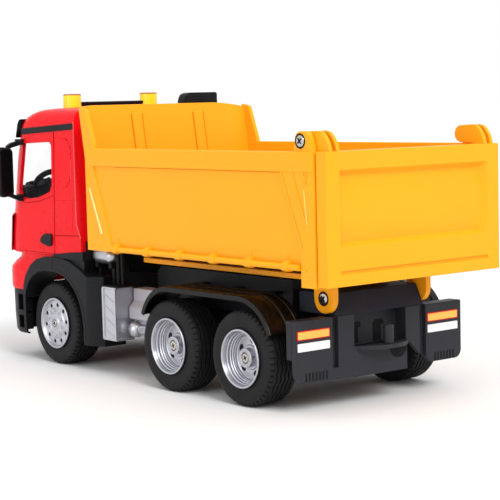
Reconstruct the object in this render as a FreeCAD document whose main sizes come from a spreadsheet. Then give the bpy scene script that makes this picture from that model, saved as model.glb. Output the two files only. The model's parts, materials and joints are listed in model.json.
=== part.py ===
"""Dump truck, a 1:20 class three-axle toy: parametric model in millimetres.

The truck stands on the ground plane, +X towards the cab, +Y towards its left side, +Z up.
Stations along the truck are measured forwards from the tail, and the origin is at half length.
"""
import FreeCAD, Part
import Sketcher
import math
import os
import re

os.makedirs("parts", exist_ok=True)
doc = FreeCAD.newDocument("dump_truck")
sheet = doc.addObject("Spreadsheet::Sheet", "dims")

SIZES = {
    # Whole truck
    "truck_length": 341,
    # Wheels
    "front_overhang": 64,
    "rear_axle_1_x": 140.5,
    "rear_axle_2_x": 73.5,
    "tyre_radius": 27,
    "tyre_width": 20,
    "tread_round": 2.5,
    "rim_radius": 16.6,
    "rim_lip": 1.3,
    "rim_proud": 1.2,
    "bead_gap": 0.05,
    "front_lip_y": 57.5,
    "rear_lip_y": 66,
    "rear_dish_depth": 8.5,
    "front_dish_depth": 2,
    "hub_radius": 5.6,
    "rear_hub_recess": 4,
    "bead_width": 1.2,
    "bead_step": 0.3,
    "dish_wall": 3,
    "dish_taper": 2.4,
    "barrel_wall": 1.6,
    "barrel_setback": 2,
    "barrel_floor_step": 4,
    "hub_cap_thick": 1.6,
    "axle_pin_radius": 2,
    "running_gap": 0.05,
    "hub_gap": 0.4,
    # Axles and steering
    "axle_tube_radius": 5,
    "diff_radius": 11,
    "diff_half_width": 9,
    "diff_crown_half_width": 5,
    "diff_chamfer": 4,
    "pin_recess": 2,
    "kingpin_y": 33,
    "kingpin_radius": 1.5,
    "knuckle_radius": 4.2,
    "knuckle_height": 8,
    "yoke_plate": 2.2,
    "side_clearance": 0.3,
    "yoke_inner_gap": 2,
    "yoke_reach": 2.3,
    "stub_recess": 3,
    "beam_half_width": 4,
    "beam_end_gap": 1,
    "spring_half_length": 24,
    "spring_width": 5,
    "spring_height": 3,
    "spring_seat_sink": 0.6,
    "hanger_length": 4,
    # Chassis
    "rail_outer": 20,
    "rail_thick": 6,
    "rail_bottom": 44,
    "rail_top": 60,
    "rail_rear_x": 46,
    "rail_nose_gap": 19,
    "cross_thick": 6,
    "cross_low_height": 4,
    "cab_mount_rear_gap": 8,
    "cab_mount_nose_gap": 14,
    "cab_mount_length": 10,
    "cab_mount_rise": 8,
    "deck_outer": 36,
    "deck_top": 69,
    "deck_bottom": 47,
    "deck_rear_x": 62,
    "deck_to_box": 12,
    "deck_chamfer": 4,
    "battery_half_width": 22,
    "battery_lap": 7,
    "battery_length": 50,
    "battery_bottom": 26,
    "battery_round": 3,
    # Bed
    "bed_half_width": 65,
    "bed_wall": 2,
    "bed_to_cab": 14.6,
    "bed_rear_x": 9.4,
    "bed_floor_z": 79,
    "bed_floor_thick": 2.5,
    "bed_top_z": 141.7,
    "band_height": 10.8,
    "band_proud": 1,
    "headboard_top_z": 168,
    "headboard_bend_z": 135,
    "headboard_lean": 5.5,
    "headboard_round": 8,
    "head_rib_proud": 1.5,
    "head_rib_top_gap": 7,
    "head_rib_inner": 20.5,
    "head_rib_outer": 28,
    "rear_post_length": 10.4,
    "rear_post_bottom": 70.6,
    "rear_post_depth": 1,
    "front_post_top_length": 8,
    "front_post_foot_length": 27,
    "front_post_top_drop": 2,
    "bed_beam_inner": 38,
    "bed_beam_outer": 42,
    "bed_beam_bottom": 70.8,
    "bed_beam_short": 25.4,
    "bed_beam_rear_gap": 6,
    "bed_rear_beam_length": 8,
    "bed_beam_step": 0.6,
    "pipe_radius": 1.7,
    "pipe_z": 81,
    "pipe_short": 27.4,
    "pipe_rear_x": 20.5,
    "clip_end_gap": 2.6,
    "clip_first_x": 27.9,
    "clip_length": 5,
    "clip_count": 6,
    "clip_proud": 0.5,
    # Dump pivot
    "pivot_x": 34.8,
    "pivot_z": 60.8,
    "lug_radius": 8.3,
    "lug_inner": 33.2,
    "lug_outer": 37.4,
    "screw_head_radius": 3.1,
    "screw_head_thick": 1.6,
    "screw_radius": 1.5,
    "screw_head_gap": 0.1,
    "screw_face_proud": 0.6,
    "pivot_screw_sink": 8,
    # Tailgate
    "gate_thick": 7.7,
    "gate_bottom": 71.3,
    "gate_frame_width": 9.5,
    "gate_recess_bottom": 91.8,
    "gate_recess_top": 132,
    "gate_recess_depth": 4,
    "gate_recess_foot_slope": 4,
    "gate_recess_head_slope": 3,
    "gate_crease_z": 107.5,
    "gate_crease_depth": 1.6,
    "gate_groove_bottom": 77.7,
    "gate_groove_height": 1.7,
    "gate_groove_depth": 1,
    "hinge_x": 18.5,
    "hinge_z": 147.2,
    "hinge_boss_radius": 4.8,
    "ear_inset": 3.1,
    "ear_proud": 0.6,
    "ear_foot_drop": 4,
    "ear_setback": 1,
    "arm_gap": 0.2,
    "arm_thick": 2.7,
    "arm_spacing": 2.2,
    "arm_foot_x": 0.9,
    "arm_foot_drop": 3,
    "arm_seat_rise": 0.6,
    "arm_crown": 11,
    "arm_round": 5,
    # Rear bumper
    "bumper_rear_x": 28.6,
    "bumper_front_x": 37,
    "bumper_half_width": 62.8,
    "lamp_panel_inner": 36.6,
    "centre_half_width": 32.3,
    "bumper_top": 51.3,
    "bumper_bottom": 17.8,
    "bumper_slot_depth": 3,
    "bumper_slot_bottom": 22.8,
    "bumper_corner": 6,
    "tow_box_half_width": 19,
    "tow_box_bottom": 16.3,
    "notch_foot": 38,
    "notch_head": 21.6,
    "notch_top": 30.9,
    "tow_recess_half_width": 19.6,
    "tow_recess_bottom": 33.5,
    "tow_recess_depth": 14,
    "tow_lip_x": 19.5,
    "tow_lip_thick": 2.6,
    "tow_lip_overlap": 1,
    "tow_lip_slope": 5,
    "tow_lip_taper": 3,
    "tow_lip_nose_half": 6,
    "tow_lip_round": 3,
    "tow_lip_nose_round": 4,
    "tow_pin_x": 23.5,
    "tow_pin_radius": 2.9,
    "tow_pin_height": 10.6,
    "rear_panel_top": 63,
    "rear_panel_half_width": 32,
    "rear_panel_top_x": 34.5,
    "rear_panel_front_x": 60,
    "strip_inner": 39,
    "strip_outer": 62,
    "strip_bottom": 41,
    "strip_height": 4.8,
    "plate_bottom": 34.6,
    "plate_height": 4.4,
    "plate_thick": 0.4,
    # Fenders over the rear wheels
    "fender_inner": 42.8,
    "fender_outer": 66.5,
    "fender_top": 62.3,
    "fender_thick": 2,
    "fender_front_x": 169,
    "fender_rear_x": 45,
    "fender_end_z": 42.5,
    "fender_round": 28,
    "fender_stay_half": 3,
    # Cab
    "cab_half_width": 60,
    "cab_wall": 2.4,
    "cab_length": 102,
    "cab_setback": 3,
    "cab_bottom": 71.7,
    "cab_shoulder_z": 84,
    "cab_rake": 17,
    "cab_roof_front_z": 156,
    "cab_roof_z": 167.7,
    "cab_roof_slope": 42,
    "cab_roof_front_round": 8,
    "cab_roof_step_round": 12,
    "cab_corner": 24,
    "window_setback": 32,
    "window_length": 35,
    "window_bottom": 110,
    "window_top": 145,
    "window_kink": 20,
    "window_kink_z": 111,
    "window_dip_z": 115.2,
    "window_lean": 4,
    "screen_side_gap": 10,
    "screen_bottom": 106,
    "screen_top": 147,
    "screen_zone_depth": 36,
    "glass_thick": 1,
    "glass_gap": 0.3,
    "dash_depth": 22,
    "dash_top_depth": 10,
    "dash_drop": 8,
    "dash_below_screen": 2,
    "dash_side_gap": 8,
    "seat_inner": 16,
    "seat_side_gap": 18,
    "seat_rear_gap": 22,
    "seat_depth": 28,
    "seat_height": 20,
    "seat_back_height": 52,
    "seat_back_thick": 6,
    "seat_fold": 12,
    "seat_sag": 2,
    "steering_radius": 9,
    "steering_tube": 1.2,
    "steering_column_radius": 1.6,
    "steering_column_length": 13,
    "steering_gap": 30,
    "steering_rake": 55,
    "visor_proud": 2,
    "visor_bottom": 148,
    "visor_top": 159.5,
    "visor_setback": 33,
    "beacon_setback": 50,
    "beacon_inset": 29.2,
    "beacon_radius": 6.2,
    "beacon_height": 8,
    "roof_bar_half_width": 1.5,
    "roof_bar_setback": 1,
    "roof_bar_lift": 0.6,
    "roof_bar_thick": 2,
    "roof_bar_foot_y": 12,
    "roof_bar_foot_length": 3,
    "intake_depth": 7.4,
    "intake_inset": 29.6,
    "intake_width": 27.8,
    "intake_top": 175,
    "intake_head_height": 12,
    "intake_duct_width": 14,
    "intake_duct_setback": 1.5,
    "intake_duct_rise": 8,
    "mirror_reach": 11.5,
    "mirror_setback": 29,
    "mirror_top": 143,
    "mirror_bottom": 108.5,
    "mirror_depth": 5,
    "mirror_width": 11,
    "arm_radius": 1.5,
    "arm_end_gap": 1,
    "arm_root": 3,
    "trim_setback": 33.4,
    "trim_rear_gap": 7,
    "trim_z": 152,
    "trim_height": 4,
    "trim_proud": 0.6,
    "handle_proud": 1.4,
    "handle_setback": 66.5,
    "handle_z": 78,
    "handle_length": 13,
    "handle_height": 7,
    # Front end below the cab
    "front_bumper_top": 62,
    "front_bumper_bottom": 48,
    "front_bumper_proud": 0.5,
    "front_bumper_wrap": 32.5,
    "front_bumper_corner": 24,
    "front_bumper_wall": 8,
    "front_bumper_side_wall": 4,
    "front_bumper_inner_corner": 12,
    "grille_half_width": 34,
    "grille_bottom": 72,
    "grille_top": 97,
    "grille_thick": 2.4,
    "step_bottom": 17,
    "arch_width": 21.5,
    "arch_proud": 1.5,
    "arch_radius": 36,
    "arch_reach": 31,
    "arch_tail": 58,
    "arch_leg_bottom": 16,
    "arch_leg_length": 16,
    "arch_front_rise": 10,
    "arch_front_slope": 14,
    "arch_rear_slope": 18,
    "arch_drop": 16,
    "arch_rear_drop": 12,
    "arch_rear_lean": 2,
    "arch_foot_rise": 3,
    # Side units behind the front wheels
    "box_outer": 60,
    "box_to_arch": 2,
    "box_length": 15,
    "box_top": 56.5,
    "box_bottom": 23,
    "stack_inset": 6,
    "fuel_tank_round": 5,
    "stack_outer": 46,
    "stack_length": 26,
    "air_tank_radius": 4.6,
    "air_tank_z": 73.4,
    "air_tank_y": 50,
    "air_tank_setback": 2,
    "air_tank_length": 24,
    "air_post_length": 3,
    "air_post_half_width": 2,
    "air_post_gap": 1,
    "fuel_tank_length": 41,
    # Lift ram
    "ram_to_headboard": 16.4,
    "ram_base_z": 52.5,
    "ram_reach": 108,
    "ram_eye_z": 73,
    "ram_radius": 5,
    "ram_base_wall": 8,
    "ram_rod_start": 10,
    "ram_cheek_wall": 4,
    "eye_cheek_thick": 2,
    "ram_length": 74,
    "ram_rod_radius": 2.6,
    "ram_eye_radius": 4,
    "ram_pin_radius": 1.5,
    "ram_half_width": 5,
    "ram_pin_proud": 0.2,
}

STATIONS = {
    # Stations that follow from the sizes, counted from the nose where the real piece is
    "front_axle_x": "truck_length - front_overhang",
    "rail_front_x": "truck_length - rail_nose_gap",
    "front_bumper_rear_x": "truck_length - front_bumper_wrap",
    "cab_front_x": "truck_length - cab_setback",
    "cab_rear_x": "cab_front_x - cab_length",
    "cab_roof_front_x": "cab_front_x - cab_rake",
    "cab_roof_step_x": "cab_front_x - cab_roof_slope",
    "window_front_x": "cab_front_x - window_setback",
    "visor_rear_x": "cab_front_x - visor_setback",
    "window_rear_x": "window_front_x - window_length",
    "window_kink_x": "window_rear_x + window_kink",
    "beacon_x": "cab_front_x - beacon_setback",
    "roof_bar_x": "beacon_x - roof_bar_setback",
    "intake_rear_x": "cab_rear_x - intake_depth",
    "mirror_x": "cab_front_x - mirror_setback",
    "trim_front_x": "cab_front_x - trim_setback",
    "trim_rear_x": "cab_rear_x + trim_rear_gap",
    "handle_x": "cab_front_x - handle_setback",
    "arch_front_x": "front_axle_x + arch_reach",
    "arch_rear_x": "front_axle_x - arch_tail",
    "bed_front_x": "cab_rear_x - bed_to_cab",
    "bed_beam_front_x": "bed_front_x - bed_beam_short",
    "pipe_front_x": "bed_front_x - pipe_short",
    "clip_pitch": "(pipe_front_x - clip_first_x - clip_length - clip_end_gap) / (clip_count - 1)",
    "box_front_x": "arch_rear_x - box_to_arch",
    "box_rear_x": "box_front_x - box_length",
    "stack_rear_x": "box_rear_x - stack_length",
    "fuel_tank_rear_x": "box_front_x - fuel_tank_length",
    "air_tank_rear_x": "box_rear_x + air_tank_setback",
    "battery_front_x": "arch_rear_x + battery_lap",
    "battery_rear_x": "battery_front_x - battery_length",
    "deck_front_x": "box_rear_x - deck_to_box",
    "ram_base_x": "bed_front_x - ram_to_headboard",
    "ram_eye_x": "ram_base_x - ram_reach",
    "gate_half_width": "bed_half_width",
    "arm_inner_near": "arm_inner_far - arm_thick",
    "steering_y": "(seat_inner + seat_outer) / 2",
    "arch_inner_y": "arch_outer_y - arch_width",
    "arch_outer_y": "cab_half_width + arch_proud",
    "front_bumper_half_width": "cab_half_width + front_bumper_proud",
    "intake_y": "-(cab_half_width - intake_inset)",
    "beacon_y": "cab_half_width - beacon_inset",
    "mirror_y": "cab_half_width + mirror_reach",
    "seat_outer": "cab_half_width - seat_side_gap",
    "screen_half_width": "cab_half_width - screen_side_gap",
    "gate_recess_half": "bed_half_width - gate_frame_width",
    "arm_inner_far": "arm_outer_near - arm_spacing",
    "arm_outer_near": "arm_outer_far - arm_thick",
    "arm_outer_far": "ear_inner - arm_gap",
    "ear_outer": "bed_half_width + ear_proud",
    "ear_inner": "bed_half_width - ear_inset",
}

for row, (alias, value) in enumerate(SIZES.items(), start=1):
    sheet.set("A%d" % row, alias.replace("_", " "))
    sheet.set("B%d" % row, str(value))
    sheet.setAlias("B%d" % row, alias)
doc.recompute()

NODES = []


WORD = re.compile(r"[a-z][a-z_0-9]*")


def formula(text):
    """A formula in the sheet's own names, as the document's expression engine wants it."""
    def spelled(word):
        name = word.group(0)
        if name in STATIONS:
            return "(%s)" % WORD.sub(spelled, STATIONS[name])
        return "dims." + name if name in SIZES else name
    return WORD.sub(spelled, str(text))


def value(text):
    """The number that a formula gives now."""
    return float(sheet.evalExpression(formula(text)))


def bind(obj, prop, text):
    obj.setExpression(prop, formula(text))


def place(obj, x, y, z):
    """Put an object at a station from the tail, a distance to the left and a height."""
    bind(obj, "Placement.Base.x", "(%s) - truck_length / 2" % x)
    bind(obj, "Placement.Base.y", y)
    bind(obj, "Placement.Base.z", z)


def box(name, x, y, z):
    """A block between two stations, two distances to the left and two heights."""
    obj = doc.addObject("Part::Box", name)
    for prop, span in (("Length", x), ("Width", y), ("Height", z)):
        bind(obj, prop, "(%s) - (%s)" % (span[1], span[0]))
    place(obj, x[0], y[0], z[0])
    return obj


AXES = {
    "X": FreeCAD.Rotation(FreeCAD.Vector(0, 1, 0), 90),
    "Y": FreeCAD.Rotation(FreeCAD.Vector(1, 0, 0), -90),
    "Z": FreeCAD.Rotation(),
}


def rod(name, radius, axis, start, length):
    """A round bar from its start point, along +X, +Y or +Z."""
    obj = doc.addObject("Part::Cylinder", name)
    obj.Placement.Rotation = AXES[axis]
    bind(obj, "Radius", radius)
    bind(obj, "Height", length)
    place(obj, *start)
    return obj


PLANES = {"XY": "XY_Plane", "XZ": "XZ_Plane", "YZ": "YZ_Plane"}


def sketch_of(body, plane, points):
    """A closed outline of straight lines, each corner held by two bound distances."""
    sketch = body.newObject("Sketcher::SketchObject", body.Name + "_outline")
    role = PLANES[plane]
    sketch.AttachmentSupport = [(f, "") for f in body.Origin.OriginFeatures if f.Role == role]
    sketch.MapMode = "FlatFace"
    corners = [FreeCAD.Vector(value(p[0]), value(p[1]), 0) for p in points]
    count = len(corners)
    for i in range(count):
        sketch.addGeometry(Part.LineSegment(corners[i], corners[(i + 1) % count]))
    for i in range(count):
        sketch.addConstraint(Sketcher.Constraint("Coincident", i, 2, (i + 1) % count, 1))
    for i, point in enumerate(points):
        across = sketch.addConstraint(Sketcher.Constraint("DistanceX", -1, 1, i, 1, corners[i].x))
        sketch.setExpression("Constraints[%d]" % across, formula(point[0]))
        up = sketch.addConstraint(Sketcher.Constraint("DistanceY", -1, 1, i, 1, corners[i].y))
        sketch.setExpression("Constraints[%d]" % up, formula(point[1]))
    return sketch


def round_corners(body, feature, groups):
    """Fillet the edges that a test picks; groups holds (test, radius formula) pairs."""
    for test, radius in groups:
        doc.recompute()
        shape = feature.Shape
        names = ["Edge%d" % (i + 1) for i, edge in enumerate(shape.Edges) if test(edge)]
        fillet = body.newObject("PartDesign::Fillet", feature.Name + "_round")
        fillet.Base = (feature, names)
        bind(fillet, "Radius", radius)
        feature = fillet
    return feature


def prism(name, plane, points, low, high):
    """An outline extruded between two distances along its plane's normal.

    A point is (across, up) or (across, up, radius), where the radius rounds that corner.
    Stations in an outline are measured from the tail.
    """
    body = doc.addObject("PartDesign::Body", name)
    sketch = sketch_of(body, plane, points)
    pad = body.newObject("PartDesign::Pad", name + "_pad")
    pad.Profile = sketch
    pad.SideType = "Symmetric"
    bind(pad, "Length", "(%s) - (%s)" % (high, low))
    middle = "((%s) + (%s)) / 2" % (low, high)
    if plane == "XZ":
        place(body, 0, middle, 0)
    elif plane == "XY":
        place(body, 0, 0, middle)
    else:
        place(body, middle, 0, 0)
    rounded = {}
    for point in points:
        if len(point) == 3:
            rounded.setdefault(point[2], []).append((value(point[0]), value(point[1])))
    axis = {"XZ": 1, "XY": 2, "YZ": 0}[plane]
    flat = [i for i in (0, 1, 2) if i != axis]

    def along(corners):
        def test(edge):
            start, end = edge.Vertexes[0].Point, edge.Vertexes[-1].Point
            if abs(abs(end[axis] - start[axis]) - edge.Length) > 1e-6:
                return False
            return any(abs(start[flat[0]] - u) < 1e-4 and abs(start[flat[1]] - v) < 1e-4 for u, v in corners)
        return test

    round_corners(body, pad, [(along(corners), radius) for radius, corners in rounded.items()])
    return body


def turned(name, points, x, y, z, flip=False):
    """A ring or disc turned about the Y axis; points are (outboard, radius)."""
    body = doc.addObject("PartDesign::Body", name)
    if flip:
        points = [("-(%s)" % p[0], p[1]) for p in points]
    sketch = sketch_of(body, "YZ", points)
    turn = body.newObject("PartDesign::Revolution", name + "_turn")
    turn.Profile = sketch
    turn.ReferenceAxis = (sketch, ["H_Axis"])
    turn.Angle = 360
    place(body, x, y, z)
    return body


def fused(name, parts):
    obj = doc.addObject("Part::MultiFuse", name)
    obj.Shapes = parts
    obj.Refine = True
    return obj


def cut(name, base, tools):
    tool = tools[0] if len(tools) == 1 else fused(name + "_tools", tools)
    obj = doc.addObject("Part::Cut", name)
    obj.Base = base
    obj.Tool = tool
    return obj


def common(name, parts):
    obj = doc.addObject("Part::MultiCommon", name)
    obj.Shapes = parts
    return obj


def mirrored(name, source):
    """The same piece on the truck's other side."""
    obj = doc.addObject("Part::Mirroring", name)
    obj.Source = source
    obj.Normal = FreeCAD.Vector(0, 1, 0)
    return obj


def together(name, parts):
    obj = doc.addObject("Part::Compound", name)
    obj.Links = parts
    return obj


def pair(name, left):
    """A left piece and its right twin in one node."""
    return together(name, [left, mirrored(left.Name + "_right", left)])


def node(label, obj):
    obj.Label = label
    NODES.append(obj)
    return obj


# Chassis: two side rails with cross members
def chassis_frame():
    rail = box("rail", ("rail_rear_x", "rail_front_x"), ("rail_outer - rail_thick", "rail_outer"),
               ("rail_bottom", "rail_top"))
    parts = [rail, mirrored("rail_right", rail)]
    for name, x in (("rear", "rail_rear_x"), ("ram", "ram_base_x + ram_eye_radius + ram_cheek_wall"),
                    ("nose", "rail_front_x - cross_thick")):
        parts.append(box("cross_" + name, (x, x + " + cross_thick"), ("-rail_outer", "rail_outer"),
                         ("rail_bottom", "rail_top")))
    for name, x in (("rear", "cab_rear_x + cab_mount_rear_gap"),
                    ("front", "rail_front_x - cab_mount_nose_gap")):
        parts.append(box("cab_mount_" + name, (x, x + " + cab_mount_length"), ("-rail_outer", "rail_outer"),
                         ("rail_bottom + cab_mount_rise", "cab_bottom")))
    low = box("cross_low", ("(rear_axle_1_x + rear_axle_2_x) / 2",
                            "(rear_axle_1_x + rear_axle_2_x) / 2 + cross_thick"),
              ("-rail_outer", "rail_outer"), ("rail_bottom", "rail_bottom + cross_low_height"))
    cheek = box("ram_cheek", ("ram_base_x - ram_eye_radius",
                              "ram_base_x + ram_eye_radius + ram_cheek_wall + cross_thick"),
                ("ram_half_width + side_clearance", "rail_outer"),
                ("rail_bottom", "ram_base_z + ram_eye_radius"))
    bore = rod("ram_base_bore", "ram_pin_radius", "Y",
               ("ram_base_x", "-rail_outer", "ram_base_z"), "2 * rail_outer")
    parts += [low, cheek, mirrored("ram_cheek_right", cheek)]
    node("chassis_frame", cut("chassis_frame", fused("frame_parts", parts), [bore]))


def deck_cases():
    left = prism("deck_case", "XZ", [("deck_rear_x", "deck_bottom"), ("deck_front_x", "deck_bottom"),
                                     ("deck_front_x", "deck_top - deck_chamfer"),
                                     ("deck_front_x - deck_chamfer", "deck_top"),
                                     ("deck_rear_x", "deck_top")], "rail_outer", "deck_outer")
    node("deck_cases", pair("deck_cases", left))


def battery_case():
    node("battery_case", prism("battery_case", "XZ", [
        ("battery_rear_x", "battery_bottom", "battery_round"),
        ("battery_front_x", "battery_bottom", "battery_round"),
        ("battery_front_x", "rail_bottom"), ("battery_rear_x", "rail_bottom")],
        "-battery_half_width", "battery_half_width"))


# Axles
def rear_axle(index):
    x = "rear_axle_%d_x" % index
    hub_y = "rear_lip_y - rim_proud - tyre_width - hub_gap"
    tube = rod("axle_tube_%d" % index, "axle_tube_radius", "Y", (x, "-(%s)" % hub_y, "tyre_radius"),
               "2 * (%s)" % hub_y)
    pin_y = "rear_lip_y - rear_hub_recess - pin_recess"
    pin = rod("axle_pin_%d" % index, "axle_pin_radius", "Y", (x, "-(%s)" % pin_y, "tyre_radius"),
              "2 * (%s)" % pin_y)
    ball = turned("diff_%d" % index, [
        ("-diff_half_width", 0), ("-diff_half_width", "diff_radius - diff_chamfer"),
        ("-diff_crown_half_width", "diff_radius"),
        ("diff_crown_half_width", "diff_radius"), ("diff_half_width", "diff_radius - diff_chamfer"),
        ("diff_half_width", 0)],
        x, 0, "tyre_radius")
    parts = [tube, pin, ball]
    seat = spring("rear_spring_%d" % index, x)
    return parts + [seat, mirrored("rear_spring_%d_right" % index, seat)]


def spring(name, x):
    """A leaf pack on its axle seat, with a hanger at each end up to the rail."""
    mid = "rail_outer - rail_thick / 2"
    side = ("%s - spring_width / 2" % mid, "%s + spring_width / 2" % mid)
    low = "tyre_radius + axle_tube_radius - spring_seat_sink"
    leaf = box(name + "_leaf", ("%s - spring_half_length" % x, "%s + spring_half_length" % x), side,
               (low, "%s + spring_height" % low))
    hangers = [box(name + "_hanger_" + end, (at, at + " + hanger_length"), side, (low, "rail_bottom"))
               for end, at in (("rear", "%s - spring_half_length" % x),
                               ("front", "%s + spring_half_length - hanger_length" % x))]
    return fused(name, [leaf] + hangers)


def axles():
    for index in (1, 2):
        node("rear_axle_%d" % index, fused("rear_axle_%d" % index, rear_axle(index)))
    half = "(knuckle_height / 2 + side_clearance)"
    beam = box("front_beam_bar", ("front_axle_x - beam_half_width", "front_axle_x + beam_half_width"),
               ("-(kingpin_y - knuckle_radius - beam_end_gap)", "kingpin_y - knuckle_radius - beam_end_gap"),
               ("tyre_radius - %s - yoke_plate" % half, "tyre_radius + %s + yoke_plate" % half))
    parts = [beam]
    yoke_in, yoke_out = "(kingpin_y - knuckle_radius - yoke_inner_gap)", "(kingpin_y + yoke_reach)"
    for side, span in (("left", (yoke_in, yoke_out)), ("right", ("-" + yoke_out, "-" + yoke_in))):
        for level, z in (("top", "tyre_radius + %s" % half),
                         ("foot", "tyre_radius - %s - yoke_plate" % half)):
            parts.append(box("yoke_%s_%s" % (side, level),
                             ("front_axle_x - beam_half_width", "front_axle_x + beam_half_width"),
                             span, (z, "%s + yoke_plate" % z)))
    seat = spring("front_spring", "front_axle_x")
    parts += [seat, mirrored("front_spring_right", seat)]
    bores = [rod("kingpin_bore_" + side, "kingpin_radius + running_gap", "Z",
                 ("front_axle_x", sign + "kingpin_y", "0"), "2 * tyre_radius")
             for side, sign in (("left", ""), ("right", "-"))]
    node("front_axle_beam", cut("front_axle_beam", fused("front_beam_parts", parts), bores))


def knuckle(side, sign):
    """A steering knuckle: its kingpin stands in the yoke and its stub carries the wheel."""
    half = "knuckle_height / 2"
    y = sign + "kingpin_y"
    drum = rod("knuckle_drum_" + side, "knuckle_radius", "Z", ("front_axle_x", y, "tyre_radius - %s" % half),
               "knuckle_height")
    pin = rod("kingpin_" + side, "kingpin_radius", "Z",
              ("front_axle_x", y, "tyre_radius - %s - side_clearance - yoke_plate" % half),
              "knuckle_height + 2 * (side_clearance + yoke_plate)")
    end = "front_lip_y - front_dish_depth - stub_recess"
    start = "kingpin_y" if sign == "" else "-(%s)" % end
    stub = rod("stub_" + side, "axle_pin_radius", "Y", ("front_axle_x", start, "tyre_radius"),
               "%s - kingpin_y" % end)
    node("knuckle_" + side, fused("knuckle_" + side, [drum, pin, stub]))


# Wheels
def wheel(name, x, lip_y, dish, hub_recess, hub_start, left):
    """A tyre on its rim, with the rim lip just proud of the tyre on the outer side."""
    sign = "" if left else "-"
    centre = "%s(%s - rim_proud - tyre_width / 2)" % (sign, lip_y)
    half = "tyre_width / 2"
    bore = "rim_radius - rim_lip + bead_gap"
    tyre = turned("tyre_" + name, [
        ("-(%s) + bead_width" % half, bore), ("-(%s) + bead_width" % half, "rim_radius + bead_step"),
        ("-(%s)" % half, "(rim_radius + tyre_radius) / 2"), ("-(%s)" % half, "tyre_radius - tread_round"),
        ("-(%s) + tread_round" % half, "tyre_radius"), ("%s - tread_round" % half, "tyre_radius"),
        (half, "tyre_radius - tread_round"), (half, "(rim_radius + tyre_radius) / 2"),
        ("%s - bead_width" % half, "rim_radius + bead_step"), ("%s - bead_width" % half, bore)],
        x, centre, "tyre_radius", not left)
    lip = "%s + rim_proud" % half
    floor = "%s - %s" % (lip, dish)
    hub = "%s - %s" % (lip, hub_recess)
    shaft = "axle_pin_radius + running_gap"
    root = "%s - (%s - rim_proud - %s)" % (hub_start, lip_y, half)
    rim = turned("rim_" + name, [
        (root, shaft), (root, "hub_radius"), ("%s - dish_wall" % floor, "hub_radius"),
        ("%s - dish_wall" % floor, "rim_radius - rim_lip - barrel_floor_step"),
        ("-(%s) + barrel_setback" % half, "rim_radius - rim_lip - barrel_wall"),
        ("-(%s) + barrel_setback" % half, "rim_radius - rim_lip"),
        ("%s - rim_proud" % lip, "rim_radius - rim_lip"),
        ("%s - rim_proud" % lip, "rim_radius"), (lip, "rim_radius"), (lip, "rim_radius - rim_lip"),
        (floor, "rim_radius - rim_lip - dish_taper"), (floor, "hub_radius"), (hub, "hub_radius"), (hub, "0"),
        ("%s - hub_cap_thick" % hub, "0"), ("%s - hub_cap_thick" % hub, shaft)],
        x, centre, "tyre_radius", not left)
    node("tyre_" + name, tyre)
    node("rim_" + name, rim)


FRONT_HUB = "kingpin_y + knuckle_radius + side_clearance"
REAR_HUB = "rear_lip_y - rim_proud - tyre_width"
WHEELS = [
    ("front_left", "front_axle_x", "front_lip_y", "front_dish_depth", "0", FRONT_HUB, True),
    ("front_right", "front_axle_x", "front_lip_y", "front_dish_depth", "0", FRONT_HUB, False),
    ("rear_1_left", "rear_axle_1_x", "rear_lip_y", "rear_dish_depth", "rear_hub_recess", REAR_HUB, True),
    ("rear_1_right", "rear_axle_1_x", "rear_lip_y", "rear_dish_depth", "rear_hub_recess", REAR_HUB, False),
    ("rear_2_left", "rear_axle_2_x", "rear_lip_y", "rear_dish_depth", "rear_hub_recess", REAR_HUB, True),
    ("rear_2_right", "rear_axle_2_x", "rear_lip_y", "rear_dish_depth", "rear_hub_recess", REAR_HUB, False),
]


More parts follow.
